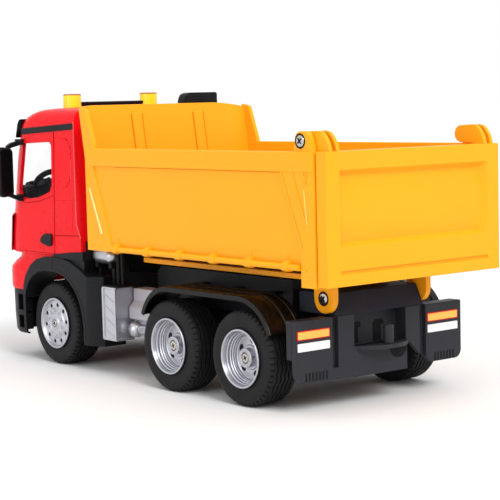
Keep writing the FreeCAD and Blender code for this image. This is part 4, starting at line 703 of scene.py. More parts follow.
# %% [markdown]
# The rear bumper is a deep black moulding. Its skin carries the lamp panels, two upright slots
# and the opening for the towing pin. A second layer behind the skin closes the slots, and a
# box behind the opening gives it depth. Dark vents line the foot of both panels.
# %% The bumper's skin
SKIN = (28.6, 31.7)
bumper = bmesh.new()
plate(bumper, [(62.8, 17.8, 5), (62.8, 51.3, 0.8), (36.8, 51.3), (36.8, 23.4), (32.6, 23.4), (32.6, 51.3),
               (20.9, 51.3), (20.9, 33.5), (-18.4, 33.5), (-18.4, 51.3), (-29.4, 51.3), (-29.4, 23.6),
               (-24.8, 28), (-21.6, 31.2), (-19.2, 31.2), (-19.2, 16.4), (19, 16.4)], "station", *SKIN)
plate(bumper, [(-34.3, 51.3), (-62.8, 51.3, 0.8), (-62.8, 17.8, 5), (-38.2, 17.8), (-34.3, 21.6)], "station",
      *SKIN)
bmesh.ops.triangulate(bumper, faces=[f for f in bumper.faces if abs(f.normal.x) > 0.9])
round_edges(bumper, 0.35)

# %% Its vents and the half-round pocket
vents = bmesh.new()
for side in (-1, 1):
    for vent in range(7):
        middle = side * (41.5 + 2.45 * vent)
        block(vents, (28.45, 28.8), (middle - 0.5, middle + 0.5), (18.3, 22.9))
# The half-round pocket is a flat black plate: painted shade where the opening under the shelf is dark.
half_round = [(-12.6 + 6.2 * math.cos(math.radians(turn)), 29.2 + 5.6 * math.sin(math.radians(turn)))
              for turn in range(180, 361, 15)]
plate(vents, half_round, "station", 28.3, 28.8)
piece("bumper_vents", vents, "cabin_black", "rear_bumper", extra=True)

# %% What closes and carries the skin
carrier = bmesh.new()
plate(carrier, [(62.4, 18.2, 5), (62.4, 51), (21.2, 51), (21.2, 33.2), (-18.8, 33.2), (-18.8, 51),
                (-62.4, 51), (-62.4, 18.2, 5), (-38.6, 18.2), (-32, 24), (-25, 30), (-21.8, 31.6),
                (19, 31.6), (19, 18.2)], "station", 31.6, 33)
for outer, inner in ((62.5, 37), (-62.5, -34.6)):
    plate(carrier, [(outer, 30), (outer, 51.2), (inner, 51.2), (inner, 30)], "station", 32.9, 37.2)
block(carrier, (31.6, 45.8), (18.6, 21.2), (16.6, 51.2))
block(carrier, (31.6, 45.8), (-21, -18.4), (31, 51.2))
block(carrier, (43.4, 45.8), (-19, 19), (16.6, 51.2))
block(carrier, (37, 38.2), (-19, 19), (33, 51.2))
block(carrier, (31.6, 45.8), (-19, 19), (16.6, 18.4))
block(carrier, (29, 45.8), (-18.9, 20.9), (31, 33.5))
plate(carrier, [(29.6, -19.4), (29.6, 19.4), (24.3, 16.6, 3), (19.6, 6, 4), (19.6, -6, 4), (24.3, -16.6, 3)],
      "height", 31, 33.5)
round_edges(carrier, 0.35)
add_into(bumper, carrier)
piece("bumper_skin_and_box", bumper, "bumper_black", "rear_bumper")
cover = bmesh.new()
plate(cover, [(28.8, 51.4), (60, 51.4), (60, 63), (34.6, 63)], "left", -33, 33)
round_edges(cover, 0.35)
piece("bumper_top_panel", cover, "soft_black", "rear_bumper", extra=True)
# The hook-shaped holes in the pocket's back wall are flat black plates: painted shade where the holes look
# dark.
hooks = bmesh.new()
for low, high in ((10.5, 17.5), (-7, -1)):
    plate(hooks, [(low, 33.6), (high, 33.6), (high, 45, 2), (low - 2, 45.4, 1.5), (low - 2, 42.4), (low, 42)],
          "station", 36.8, 37.1)
piece("pocket_slots", hooks, "cabin_black", "rear_bumper", extra=True)

# %% The towing pin
pin = bmesh.new()
bar(pin, at(23.5, 0, 33.4), at(23.5, 0, 44.1), 2.9, sides=40)
round_edges(pin, 0.9, segments=4)
piece("towing_pin_rounded", pin, "bumper_black", "tow_pin")

# %% [markdown]
# Each panel carries an amber strip with a thin red border, and a blank white label below it.
# The border is the strip's own backing, seen all round the amber field. The right pair sits a
# little further in than the left one.
# %% Strips and labels
for name, finish_name, margin, low, high, proud, node, extra in (
        ("strip_backing", "cab_red", 0, 41, 46, 0.2, "reflector_strips", False),
        ("strip_amber", "reflector", 0.55, 41.5, 45.5, 0.35, "reflector_strips", True),
        ("labels_blank", "plate_white", 0.2, 34.8, 39.3, 0.35, "number_plates", False)):
    shape = bmesh.new()
    for near, far in ((38.9, 62.1), (-35.4, -60)):
        inner, outer = near + math.copysign(margin, near), far - math.copysign(margin, far)
        plate(shape, [(inner, low, 0.5), (outer, low, 0.5), (outer, high, 0.5), (inner, high, 0.5)],
              "station", SKIN[0] - proud, SKIN[0] + 0.1)
    piece(name, shape, finish_name, node, extra)

# %% [markdown]
# A rear fender covers both wheels of its side. Its section has lengthwise ribs and a rolled
# outer edge. The section is drawn at the crown, turned down at the back round one centre,
# drawn out along the flat top, and turned down at the front round another centre.
# %% Rear fenders
FENDER_SECTION = [(42.9, 60.4), (42.9, 62.3), (45.6, 62.3), (46, 61.7), (50.4, 61.7), (50.8, 62.3),
                  (53, 62.3), (53.4, 61.7), (60.4, 61.7), (60.8, 62.3), (65.9, 62.3), (66.4, 61.8),
                  (66.4, 59.2), (65.6, 59.2), (65.4, 60.4)]
FLAT_REAR, FLAT_FRONT = 73.5, 140


def sweep_fender(shape):
    """Draws the section out and turns both its ends down, which gives the arched cover with closed ends."""
    corners, loop = chain(shape, [at(FLAT_REAR, left, height) for left, height in FENDER_SECTION],
                          closed=True)
    drawn = bmesh.ops.extrude_edge_only(shape, edges=loop)
    far = verts_of(drawn)
    far_loop = [g for g in drawn["geom"]
                if isinstance(g, bmesh.types.BMEdge) and all(v in far for v in g.verts)]
    bmesh.ops.translate(shape, vec=((FLAT_FRONT - FLAT_REAR) * MM, 0, 0), verts=far)
    for verts, edges, centre, turn in ((far, far_loop, at(FLAT_FRONT, 0, 34.3), 69),
                                       (corners, loop, at(FLAT_REAR, 0, 32.3), -69)):
        bmesh.ops.spin(shape, geom=verts + edges, cent=centre, axis=(0, 1, 0), angle=math.radians(turn),
                       steps=20)
    bmesh.ops.holes_fill(shape, edges=shape.edges)


fender = bmesh.new()
sweep_fender(fender)
bmesh.ops.remove_doubles(fender, verts=fender.verts, dist=TOUCHING)
for station in (73.5, 107, 140.5):
    block(fender, (station - 3, station + 3), (36, 44), (60.3, 62.2))
mirror(fender)
for side, name in ((1, "left"), (-1, "right")):
    half = fender.copy()
    bmesh.ops.delete(half, geom=[v for v in half.verts if v.co.y * side < 0], context="VERTS")
    node = "rear_fender_" + name
    piece("fender_ribbed_" + name, half, "gloss_black", node, smooth=45)
fender.free()

# %% [markdown]
# The cab is drawn as a stack of rings seen from above. Every ring is a rectangle with wide round
# front corners and folded rear ones. The rings lean back with the windscreen and shrink
# towards the roof, and bridging them gives one smooth skin. A ring is given as its height, the
# station of its front and half its width.
# %% The cab's rings
CAB_HALF, CORNER = 60, 24
STEP_FOOT, STEP_TOP = 84, 93
CAB_STACK = [(71.7, 337.2, 59.4), (72.4, 338, 60), (76, 338, 60), (84, 337.6, 60), (93, 335.9, 60),
             (103, 334, 60), (134, 328.3, 60), (150, 323.4, 60), (156, 320.8, 60), (158.5, 319.2, 59.5),
             (161, 316.4, 58.7), (163.2, 312, 57.5), (164.8, 307.2, 55.8), (165.8, 302, 54),
             (166.5, 295, 50), (166.9, 286, 43)]


def front_of(height):
    """The station of the cab's front, on the centre line, at a height."""
    return next(start + (end - start) * (height - low) / (high - low)
                for (low, start, _), (high, end, _) in zip(CAB_STACK, CAB_STACK[1:]) if low <= height <= high)


def step_at(height):
    """How much of the rear wall's step lies below a height, from 0 to 1."""
    return min(1, max(0, height - STEP_FOOT) / (STEP_TOP - STEP_FOOT))


def tail_of(height):
    """The station of the cab's rear wall at a height."""
    return 236.4 + step_at(height) * 2.6 + max(0, height - STEP_TOP) * 0.028


def cab_ring(shape, height, front, half, skin):
    """One rounded rectangle with folded rear corners: skin is how far it lies inside the outer face."""
    tail, fold = tail_of(height) + skin, 238.2 + step_at(height) * 4.6
    front, half = front - skin, half - skin
    spots = [(tail, half - 9), (min(tail + 1.5, fold - 0.5), half - 2.6), (fold, half)]
    for middle, start in ((half - CORNER, 90), (CORNER - half, 0)):
        for degrees in range(start, start - 91, -10):
            turn = math.radians(degrees)
            spots.append((front - CORNER + CORNER * math.cos(turn), middle + CORNER * math.sin(turn)))
    spots += [(x, -y) for x, y in reversed(spots[:3])]
    return chain(shape, [at(x, y, height) for x, y in spots], closed=True)[1]


def stack(shape, skin=0.0):
    """The cab's closed skin, or a copy of it that lies further in."""
    rings = []
    for height, front, half in CAB_STACK:
        rise = skin if height < 73 else -skin if height > 160 else 0
        rings.append(cab_ring(shape, height + rise, front, half, skin))
    bridge_rows(shape, rings)
    for ring in (rings[-1], rings[0]):
        bmesh.ops.contextual_create(shape, geom=ring)


# %% [markdown]
# The openings for the door windows and the windscreen are cut along their outlines, and what lies
# inside them is taken away.
# %% Window openings
DOOR_WINDOW = [(303.9, 144.4), (271, 145.6), (268.8, 143.6), (269.6, 117.2), (272.6, 112.8), (286, 108.8),
               (303, 107.2), (309, 108.8), (311, 112.4)]
SCREEN_HALF, SCREEN_FOOT, SCREEN_TOP = 51, 108, 147


def score_screen(shape, grown=0):
    """Cuts along the four sides of the windscreen's opening."""
    half = SCREEN_HALF + grown
    score(shape, lefts=(-half, half), heights=(SCREEN_FOOT - grown, SCREEN_TOP + grown))


def in_screen(spot, grown=0):
    """Tells whether a spot lies in the windscreen's opening."""
    level = SCREEN_FOOT - grown < spot.z < SCREEN_TOP + grown
    return level and spot.x > 300 and abs(spot.y) < SCREEN_HALF + grown


def cut_openings(shape):
    """Cuts along every side of the openings and takes the faces inside them away."""
    window_sides = list(zip(DOOR_WINDOW, DOOR_WINDOW[1:] + DOOR_WINDOW[:1]))
    for (x1, z1), (x2, z2) in window_sides:
        slice_at(shape, (x1, 0, z1), (z1 - z2, 0, x2 - x1))
    score_screen(shape)
    gone = []
    for face in shape.faces:
        middle = middle_of(face)
        in_window = abs(middle.y) > 50 and all((x2 - x1) * (middle.z - z1) - (z2 - z1) * (middle.x - x1) > 0
                                               for (x1, z1), (x2, z2) in window_sides)
        if in_window or in_screen(middle):
            gone.append(face)
    bmesh.ops.delete(shape, geom=gone, context="FACES")


cab = bmesh.new()
stack(cab)
cut_openings(cab)

# %% [markdown]
# A door's edge is given as its station halfway up the door and how far it leans over the door's
# rise. Two cuts half a millimetre apart follow each edge. The slit along the rear edge is pressed
# in, and along the front edge, where the corner starts to turn, the skin is only cut.
# %% Shut lines of the doors
REAR_EDGE, FRONT_EDGE = (267.6, 3.6), (312.5, -8)
DOOR_MIDDLE, DOOR_RISE = 112, 78
DOOR_FOOT, DOOR_TOP = 73.4, 151.6
for station, lean_by in (REAR_EDGE, FRONT_EDGE):
    for shift in (-0.25, 0.25):
        slice_at(cab, (station + shift, 0, DOOR_MIDDLE), (DOOR_RISE, 0, lean_by))
score(cab, heights=(DOOR_FOOT, DOOR_TOP))
cab.normal_update()
slits = {-1: [], 1: []}
rear_edge, rear_lean = REAR_EDGE
for face in cab.faces:
    middle = middle_of(face)
    off_edge = abs((middle.x - rear_edge) * DOOR_RISE + (middle.z - DOOR_MIDDLE) * rear_lean) / DOOR_RISE
    if off_edge < 0.24 and abs(face.normal.y) > 0.9 and DOOR_FOOT < middle.z < DOOR_TOP:
        slits[1 if middle.y > 0 else -1].append(face)
for side, faces in slits.items():
    sink(cab, faces, Vector((0, -side * 0.7 * MM, 0)))

# %% [markdown]
# Two raised panels lie behind the door. The window's frame is a ring between two copies of the
# window's outline, and its inner edge is drawn inwards as a reveal. The rear wall has eleven ribs.
# %% Panels, frames and ribs of the cab's skin


def window_outline(grown):
    """The door window's outline, made larger about its middle."""
    scale = 1 + grown / 19
    return [(289 + (x - 289) * scale, 127 + (z - 127) * scale) for x, z in DOOR_WINDOW]


WINDOW_INNER, WINDOW_OUTER = window_outline(-0.4), window_outline(1.3)
panels = bmesh.new()
plate(panels, [(264.4, 147.8), (250.6, 147.2, 2.5), (246.6, 142, 3), (248.3, 121, 3), (252.5, 116.6, 2.5),
               (264.9, 113.8)], "left", 59, 60.3)
plate(panels, [(264.4, 107.8, 0.6), (246.1, 108.3, 0.6), (247.2, 88.1, 0.6), (265.4, 87.8, 0.6)], "left", 59,
      60.2)
round_edges(panels, 0.18)
edges_in = chain(panels, [at(x, 60.25, z) for x, z in WINDOW_INNER], closed=True)[1]
edges_out = chain(panels, [at(x, 59.6, z) for x, z in WINDOW_OUTER], closed=True)[1]
bmesh.ops.bridge_loops(panels, edges=edges_out + edges_in)
reveal = verts_of(bmesh.ops.extrude_edge_only(panels, edges=edges_in))
bmesh.ops.translate(panels, vec=(0, -2.6 * MM, 0), verts=reveal)
mirror(panels)
for rib in range(11):
    height = 86 + 6.6 * rib
    block(panels, (tail_of(height) - 0.8, tail_of(height) + 0.6), (-49, 49), (height, height + 3))
for side in (-1, 1):
    plate(panels, [(236.2, 84), (238.1, 94), (240.2, 162), (242, 162), (240, 84)], "left",
          *on_side(side, 51.6, 53.4))
add_into(cab, panels)
piece("cab_skin", cab, "cab_red", "cab_shell", smooth=32)

# %% [markdown]
# Painted shadow lines run in the shut lines round the door and its panels, and painted highlights in a pale
# red follow the cab's rear edge. Both are thin round lines that lie half sunk in the side wall.
# %% Painted shadow in the seams and painted highlights
SEAM_LEFT = 59.95
seam_shadows, highlight_lines = bmesh.new(), bmesh.new()
# Every seam is a dark red line: painted shadow in a shut line or along a panel's edge.
for spots, radius in (
        ([(265.8, 151.4), (269.4, 73.6)], 0.3),
        ([(264.9, 114), (252.7, 116.9), (248.8, 121), (247, 142), (250.8, 147.1), (264.4, 147.6)], 0.26),
        ([(264.9, 88), (264.2, 107.6), (246.4, 108.1), (247.5, 88.3), (264.9, 88)], 0.24),
        ([(268.8, 85), (240.5, 86.1)], 0.26),
        ([(311, 106.6), (303, 105), (286, 106.6), (268.2, 110.8)], 0.22),
        ([(313, 73.2), (262, 73.2)], 0.2)):
    line_along(seam_shadows, spots, radius, SEAM_LEFT)
# Painted highlights along the rear fold and along the sleeper panel's edge.
line_along(highlight_lines, [(242.9, 158), (242.8, 93.2), (238.4, 84.4)], 0.34, 59.9)
line_along(highlight_lines, [(247.6, 121.4), (247, 134)], 0.2, 60.1)
for lines, name, finish_name in ((seam_shadows, "cab_shut_lines", "shut_line"),
                                 (highlight_lines, "cab_bright_edges", "red_highlight")):
    mirror(lines)
    piece(name, lines, finish_name, "cab_shell", extra=True)

# %% [markdown]
# Inside, the cab has a dark lining. It is the same stack of rings, drawn a little smaller.
# %% The cab's lining
lining = bmesh.new()
stack(lining, 1.8)
cut_openings(lining)
piece("cab_lining", lining, "cabin_black", "cab_shell", extra=True)

# %% [markdown]
# The windscreen's pane is cut out of one more copy of the stack, so it follows the rake and
# both rounded corners. The door panes are flat.
# %% Window panes
panes = bmesh.new()
stack(panes, 0.9)
score_screen(panes, 1)
bmesh.ops.delete(panes, geom=[f for f in panes.faces if not in_screen(middle_of(f), 1)], context="FACES")
for side in (-1, 1):
    panes.faces.new([panes.verts.new(at(x, side * 58.9, z)) for x, z in WINDOW_OUTER])
bmesh.ops.solidify(panes, geom=panes.faces[:], thickness=0.5 * MM)
piece("cab_panes", panes, "window_tint", "cab_glass", merge=False)

# %% [markdown]
# The black trim on the sides: a slanted stripe under the roof's edge, and the door handles, which
# are rounded cups.
# %% Stripe and handles
stripe = bmesh.new()
plate(stripe, [(305, 150), (305, 153.9), (242.9, 157.2), (242.9, 153.2)], "left", 59.3, 60.6)
round_edges(stripe, 0.2)
mirror(stripe)
piece("cab_stripe", stripe, "black_plastic", "cab_side_trim")
handles = bmesh.new()
plate(handles, [(285.6, 79.8, 1.5), (285, 82.8, 1), (280, 85.8, 1), (272.4, 86, 1), (271.2, 84.5, 0.8),
                (271.8, 78.6, 1), (275.5, 77.6, 1)], "left", 59.2, 61.2)
round_edges(handles, 0.4)
mirror(handles)
piece("door_handle_cups", handles, "black_plastic", "door_handles")

# %% [markdown]
# The sun visor and the nose panel follow the cab's front and wrap round its corners. Each is drawn
# in rows, one above the other, which follow the skin at their own height and stand proud of it.
# %% Sun visor and nose panel


def front_arc(height, middle, spread, reach, limit, steps):
    """Spots at a height from the left corner round the front to the right one, limit degrees either way.
    The corners' centres lie at the station called middle, spread to the left and to the right."""
    spots = []
    for step in range(steps + 1):
        turn = math.radians(limit - 2 * limit * step / steps)
        side = 1 if step < steps / 2 else -1 if step > steps / 2 else 0
        spots.append(at(middle + reach * math.cos(turn), spread * side + reach * math.sin(turn), height))
    return spots


def cab_arc(height, proud, limit, steps):
    """Such spots round the cab's own front, a distance proud of it."""
    return front_arc(height, front_of(height) - CORNER, CAB_HALF - CORNER, CORNER + proud, limit, steps)


visor = bmesh.new()
rows = [chain(visor, cab_arc(height, proud, 58, 20) + cab_arc(height, -1, 58, 20)[::-1], closed=True)[1]
        for height, proud in ((147.8, 2.9), (148.4, 3.3), (157, 3.8), (159.4, 3.8), (160, 3.3))]
bridge_rows(visor, rows)
for row in (rows[0], rows[-1]):
    bmesh.ops.holes_fill(visor, edges=row)
piece("sun_visor_curved", visor, "gloss_black", "sun_visor")
nose = bmesh.new()
bridge_rows(nose, [chain(nose, cab_arc(height, proud, 70, 16))[1]
                   for height, proud in ((71.9, 1.2), (72.6, 1.9), (95.6, 1.9), (97, 1.1), (97.4, 0.2))])
bmesh.ops.recalc_face_normals(nose, faces=nose.faces)
piece("cab_nose_panel", nose, "cab_red", "cab_shell", extra=True)

# %% [markdown]
# The mirrors hang on two short arms. The housing has round corners and its glass is a flat pane
# let into the rear.
# %% Mirrors
mirrors = bmesh.new()
plate(mirrors, [(66, 110, 2.5), (66, 141, 3), (76.8, 142.6, 3.5), (76.8, 108.6, 4)], "station", 306.7, 311.5)
round_edges(mirrors, 0.9, segments=3)
plate(mirrors, [(58, 146.6), (66.2, 144.6), (69.2, 142.8), (69.2, 140), (66.4, 141.4), (58, 143.4)],
      "station", 307.8, 311)
plate(mirrors, [(58, 107.9), (66.8, 111.1), (68.5, 109.3), (66.8, 108.5), (58, 104.9)], "station", 308, 311)
block(mirrors, (305.6, 311.6), (59, 61.5), (106.2, 110.6))
block(mirrors, (303, 311.6), (59, 61.6), (143.2, 147))
mirror(mirrors)
piece("mirror_housings", mirrors, "black_plastic", "mirrors")
mirror_panes = bmesh.new()
plate(mirror_panes, [(67.2, 111.4, 1.5), (67.2, 139.8, 2), (75.6, 141.2, 2.5), (75.6, 110, 3)], "station",
      306.62, 306.8)
mirror(mirror_panes)
piece("mirror_glasses", mirror_panes, "gloss_black", "mirrors", extra=True)

# %% [markdown]
# On the roof stand two amber beacons, joined by a thin black bar. The dark amber ring on each beacon's top
# edge is a painted reflection of the bar.
# %% Beacons and roof bar
BEACON = (288, 30.8)
beacons, reflection_rings = bmesh.new(), bmesh.new()
for side in (-1, 1):
    left = side * BEACON[1]
    bar(beacons, at(BEACON[0], left, 165.4), at(BEACON[0], left, 175.6), 6.1, 5.85, sides=40)
    # A thin ring on each top edge carries the bar's painted reflection.
    turn_round(reflection_rings, [at(BEACON[0] + 5.3, left, 175.7), at(BEACON[0] + 5.95, left, 175.35),
                              at(BEACON[0] + 6, left, 174.9)], at(BEACON[0], left, 170), (0, 0, 1), 40)
round_edges(beacons, 0.5)
piece("beacon_domes", beacons, "beacon_yellow", "beacons")
piece("beacon_rim_reflections", reflection_rings, "beacon_painted_reflection", "beacons", extra=True)
roof_bar = bmesh.new()
bar(roof_bar, at(287, -25.2, 169.5), at(287, 25.2, 169.5), 0.95, sides=20)
plate(roof_bar, [(-24.8, 166.4), (24.8, 166.4), (24.8, 169.2), (-24.8, 169.2)], "station", 286.6, 287.4)
piece("roof_bar_round", roof_bar, "black_plastic", "roof_bar")

# %% [markdown]
# Behind the cab rises an air intake. Its hood has round corners, a notch and five louvres.
# %% Air intake
intake = bmesh.new()
plate(intake, [(-44.5, 163), (-44.5, 174.8, 1.5), (-35.4, 174.8), (-34.9, 174.2), (-34.4, 174.8),
               (-20, 174.8, 4), (-16.8, 171, 3), (-16.8, 163)], "station", 228.8, 235.8)
plate(intake, [(-44, 82), (-44, 163.2), (-33, 163.2), (-33, 82)], "station", 230.2, 235.8)
round_edges(intake, 0.5)
for louvre in range(5):
    low = 164.6 + 1.9 * louvre
    block(intake, (228.6, 229.2), (-33.4, -18.4), (low, low + 0.9))
piece("air_intake_hood", intake, "black_plastic", "air_intake")

# %% [markdown]
# The front end is drawn in rows, as the visor is: each row starts at the rear of one side, runs
# forwards, goes round the corner, across and back. Bridged rows give a skin, and the skin then
# gets its wall. The bumper's top slopes back and makes way for the wheel arch.
# %% Bumper and skirt skins


def wrap_skin(rows):
    """A skin from rows, each a height, the station of its ends, that of its front and half its width."""
    shape = bmesh.new()
    loops = []
    for height, rear, front, half in rows:
        arc = front_arc(height, front - CORNER, half - CORNER, CORNER, 90, 16)
        loops.append(chain(shape, [at(rear, half, height), *arc, at(rear, -half, height)])[1])
    bridge_rows(shape, loops)
    bmesh.ops.recalc_face_normals(shape, faces=shape.faces)
    return shape


def front_patch(shape, lefts, heights):
    """Faces that look ahead, between two distances to the left and two heights."""
    return [f for f in shape.faces if abs(f.normal.x) > 0.8 and lefts[0] < middle_of(f).y < lefts[1]
            and heights[0] < middle_of(f).z < heights[1]]


def side_patch(shape, side, stations, heights):
    """Faces that look to one side, between two stations and two heights."""
    return [f for f in shape.faces if abs(f.normal.y) > 0.8 and middle_of(f).y * side > 50
            and stations[0] < middle_of(f).x < stations[1] and heights[0] < middle_of(f).z < heights[1]]


# %% Front bumper with its lamp recesses
LAMP_LEFTS, LAMP_HEIGHTS = ((-35.5, -15.5), (15.5, 35.5)), (50.6, 60.2)
WALL = 1.2 * MM
bumper_skin = wrap_skin([(46.9, 306.6, 340.2, 59.8), (47.5, 306.3, 340.8, 60.3), (49, 306.3, 341, 60.5),
                         (58, 303.8, 341, 60.5), (61.6, 300.2, 340.6, 60.3), (63, 298.4, 339.6, 59.4),
                         (65.6, 295, 337, 58.6), (68, 292, 334.4, 57), (69.6, 289, 333.8, 56.6),
                         (72.4, 286, 334.4, 57)])
score(bumper_skin, lefts=LAMP_LEFTS[0] + LAMP_LEFTS[1], heights=LAMP_HEIGHTS)
bumper_skin.normal_update()
for lefts in LAMP_LEFTS:
    sink(bumper_skin, front_patch(bumper_skin, lefts, LAMP_HEIGHTS), Vector((-3 * MM, 0, 0)))
bmesh.ops.solidify(bumper_skin, geom=bumper_skin.faces[:], thickness=WALL)
piece("front_bumper_skin", bumper_skin, "cab_red", "front_bumper")

# %% Front skirt with its steps and lower grille
STEP_STATIONS = (311, 317.5)
STEP_HEIGHTS = ((21, 29.5), (33, 43.5))
GRILLE_LEFTS = (-30, 30)
skirt_skin = wrap_skin([(16.8, 309.4, 336, 56.4), (17.4, 309, 337.4, 58.6), (19.4, 308.6, 338.4, 59.6),
                        (30, 308.2, 339, 60), (46.9, 308, 339.4, 60)])
score(skirt_skin, STEP_STATIONS, GRILLE_LEFTS, STEP_HEIGHTS[0] + STEP_HEIGHTS[1])
skirt_skin.normal_update()
for heights in STEP_HEIGHTS:
    for side in (-1, 1):
        sink(skirt_skin, side_patch(skirt_skin, side, STEP_STATIONS, heights), Vector((0, -side * 5 * MM, 0)))
sink(skirt_skin, front_patch(skirt_skin, GRILLE_LEFTS, STEP_HEIGHTS[1]), Vector((-2.5 * MM, 0, 0)))
bmesh.ops.solidify(skirt_skin, geom=skirt_skin.faces[:], thickness=WALL)
piece("front_skirt_skin", skirt_skin, "black_plastic", "front_skirt")

# %% Headlamps and grille
LAMP_HEIGHT = 55.4
lamp_bowls, lamp_frames = bmesh.new(), bmesh.new()
for side in (-1, 1):
    for left in (side * 20.4, side * 30.4):
        bar(lamp_bowls, at(337.9, left, LAMP_HEIGHT), at(339.4, left, LAMP_HEIGHT), 3.4, 4.1, sides=32)
        bar(lamp_bowls, at(339.2, left, LAMP_HEIGHT), at(340.4, left, LAMP_HEIGHT), 1.6, 0.7, sides=20)
    block(lamp_frames, (337.8, 338.4), on_side(side, 16, 35), (51, 59.8))
    block(lamp_frames, (337.8, 340), on_side(side, 25, 25.8), (51, 59.8))
piece("headlamp_bowls", lamp_bowls, "silver_plastic", "front_bumper", extra=True)
round_edges(lamp_frames, 0.15)
piece("headlamp_frames", lamp_frames, "gloss_black", "front_bumper", extra=True)
grille = bmesh.new()
plate(grille, [(-34, 76, 2), (-31, 73.4, 2), (31, 73.4, 2), (34, 76, 2), (34, 96, 2.5), (-34, 96, 2.5)],
      "station", 338.6, 339.9)
for louvre in range(6):
    low = 75.3 + 3.4 * louvre
    block(grille, (339.6, 340.9), (-31.5, 31.5), (low, low + 1.7))
round_edges(grille, 0.25)
piece("grille_bars", grille, "black_plastic", "grille")
lower_grille = bmesh.new()
for louvre in range(4):
    low = 34.4 + 2.2 * louvre
    block(lower_grille, (336.6, 338.8), (-29.6, 29.6), (low, low + 0.9))
for left in (-15, 0, 15):
    block(lower_grille, (336.6, 338.6), (left - 0.5, left + 0.5), (33.2, 43.3))
round_edges(lower_grille, 0.15)
piece("lower_grille_bars", lower_grille, "gloss_black", "front_skirt", extra=True)

# %% [markdown]
# Each wiper has a short cone at its foot, an arm that rises with the windscreen, and a blade.
# %% Wipers
wipers = bmesh.new()
for pivot, tip in ((24, -4), (-4, -32)):
    foot, head = at(front_of(103) + 0.9, pivot, 103), at(front_of(117) + 1.6, tip, 116)
    bar(wipers, foot, head, 0.55, 0.4, sides=12)
    bar(wipers, at(front_of(110) + 1, tip + 4, 109), at(front_of(126) + 1.2, tip - 6, 125.5), 0.4, sides=8)
    bar(wipers, foot - Vector((0.6 * MM, 0, 0)), foot + Vector((1.1 * MM, 0, 0)), 1.5, 1.1, sides=20)
piece("wipers", wipers, "black_plastic", "cab_shell", extra=True)

# %% [markdown]
# A wheel arch is one moulding from the bumper, over the wheel, to the mud flap behind it. Its
# outline is drawn from the side, and the flap's outer corner is cut off at a slant from above.
# A thin lip follows the opening, and a shut line crosses the crown.
# %% The arch's moulding and lip
OPENING = [(236.7, 20), (236.3, 27.3), (237.4, 35), (240, 42.9), (243.2, 48.1), (247.2, 52.6), (252.4, 56.6),
           (258.4, 59.5), (265, 61), (272, 61.5), (281, 61.4), (289, 60), (296, 56.9), (301.2, 52.4),
           (304.6, 47), (306, 42)]
CROWN = [(309, 42), (308.6, 49.5), (305.4, 57), (299.6, 63.8), (292, 68.2), (282, 70.6), (271.4, 71.1),
         (259.4, 70.6),
         (252, 69.4), (246.2, 67.5), (240.6, 65.3), (236.2, 63.4), (231.8, 61)]
FLAP = [(219, 61.4), (219, 17.2), (236.8, 17.2)]
arches = bmesh.new()
plate(arches, OPENING + CROWN + FLAP, "left", 41, 61.3)
bmesh.ops.triangulate(arches, faces=[f for f in arches.faces if abs(f.normal.y) > 0.9])
slice_at(arches, (231, 61.5, 0), (-4.5, 12, 0), clear=True)
bmesh.ops.holes_fill(arches, edges=[e for e in arches.edges if e.is_boundary])
bmesh.ops.dissolve_limit(arches, angle_limit=0.01, verts=arches.verts, edges=arches.edges)
round_edges(arches, 0.5, angle=40)
lip = bmesh.new()
lip_outer = [(x + (277 - x) * -0.055, z + (max(z, 27) - 27) * 0.055) for x, z in OPENING]
plate(lip, OPENING + lip_outer[::-1], "left", 60.9, 61.5)
round_edges(lip, 0.2, angle=50)
add_into(arches, lip)
mirror(arches)

# %% Sills, brackets and the shut line
sills = bmesh.new()
plate(sills, [(262, 69.4), (262, 72.2), (303, 72.2), (303, 59.5), (299, 63), (292, 67), (282, 69.6),
              (271, 70)], "left", 52, 59.2)
mirror(sills)
piece("door_sills", sills, "cab_red", "cab_shell", extra=True)
for side in (-1, 1):
    plate(arches, [(236.3, 71.5), (263.4, 71.5), (259.5, 68.6), (252, 66), (243, 62.5), (236.3, 62.5)],
          "left", *on_side(side, 52, 59.4))
    plate(arches, [(236.4, 70.6), (273, 70.6), (271, 72.9), (251.4, 75.1), (236.4, 76.1)],
          "left", *on_side(side, 52, 60.3))
block(arches, (235.6, 239.5), (-57, 57), (71, 82.4))
piece("wheel_arches", arches, "black_plastic", "front_arches")
# The shut line on the crown is a thin black strip: painted shade in the gap.
arch_seams = bmesh.new()
plate(arch_seams, [(271.2, 61.7), (271.5, 61.7), (270.7, 70.9), (270.4, 70.9)], "left", 61.25, 61.36)
mirror(arch_seams)
piece("arch_seams", arch_seams, "frame_black", "front_arches", extra=True)

# %% [markdown]
# Behind the left wheel arch hangs a plated box. Its outer face is framed and has slanted treads,
# and behind it a stepped light block ends in a round cap. The fuel tank hangs on the right side.
# %% Plated box, stepped block and fuel tank
box_shape = bmesh.new()
block(box_shape, (203, 216.4), (44, 59.2), (23.6, 55.2))
block(box_shape, (202.2, 217), (46, 59.6), (22.6, 24.2))
block(box_shape, (202.4, 216.9), (46, 59.5), (54.6, 55.9))
block(box_shape, (202.3, 204), (57.6, 60), (23.4, 55.4))
block(box_shape, (215.2, 216.9), (57.6, 60), (23.4, 55.4))
round_edges(box_shape, 0.35)
for tread in range(4):
    high = 52.2 - 7.3 * tread
    plate(box_shape, [(204, high - 5.9), (204, high - 6.6), (215.2, high - 0.7), (215.2, high)], "left", 59,
          59.6)
piece("plated_box", box_shape, "silver_plastic", "battery_box")
steps_shape = bmesh.new()
plate(steps_shape, [(36.6, 54.8), (46, 54.8, 0.8), (46, 47.2), (49.6, 43.2, 0.8), (49.6, 35.9, 0.8),
                    (36.6, 35.9)], "station", 180, 202.4)
plate(steps_shape, [(36.6, 35.9), (46, 35.9), (46, 24), (36.6, 24)], "station", 182, 202.4)
round_edges(steps_shape, 0.4)
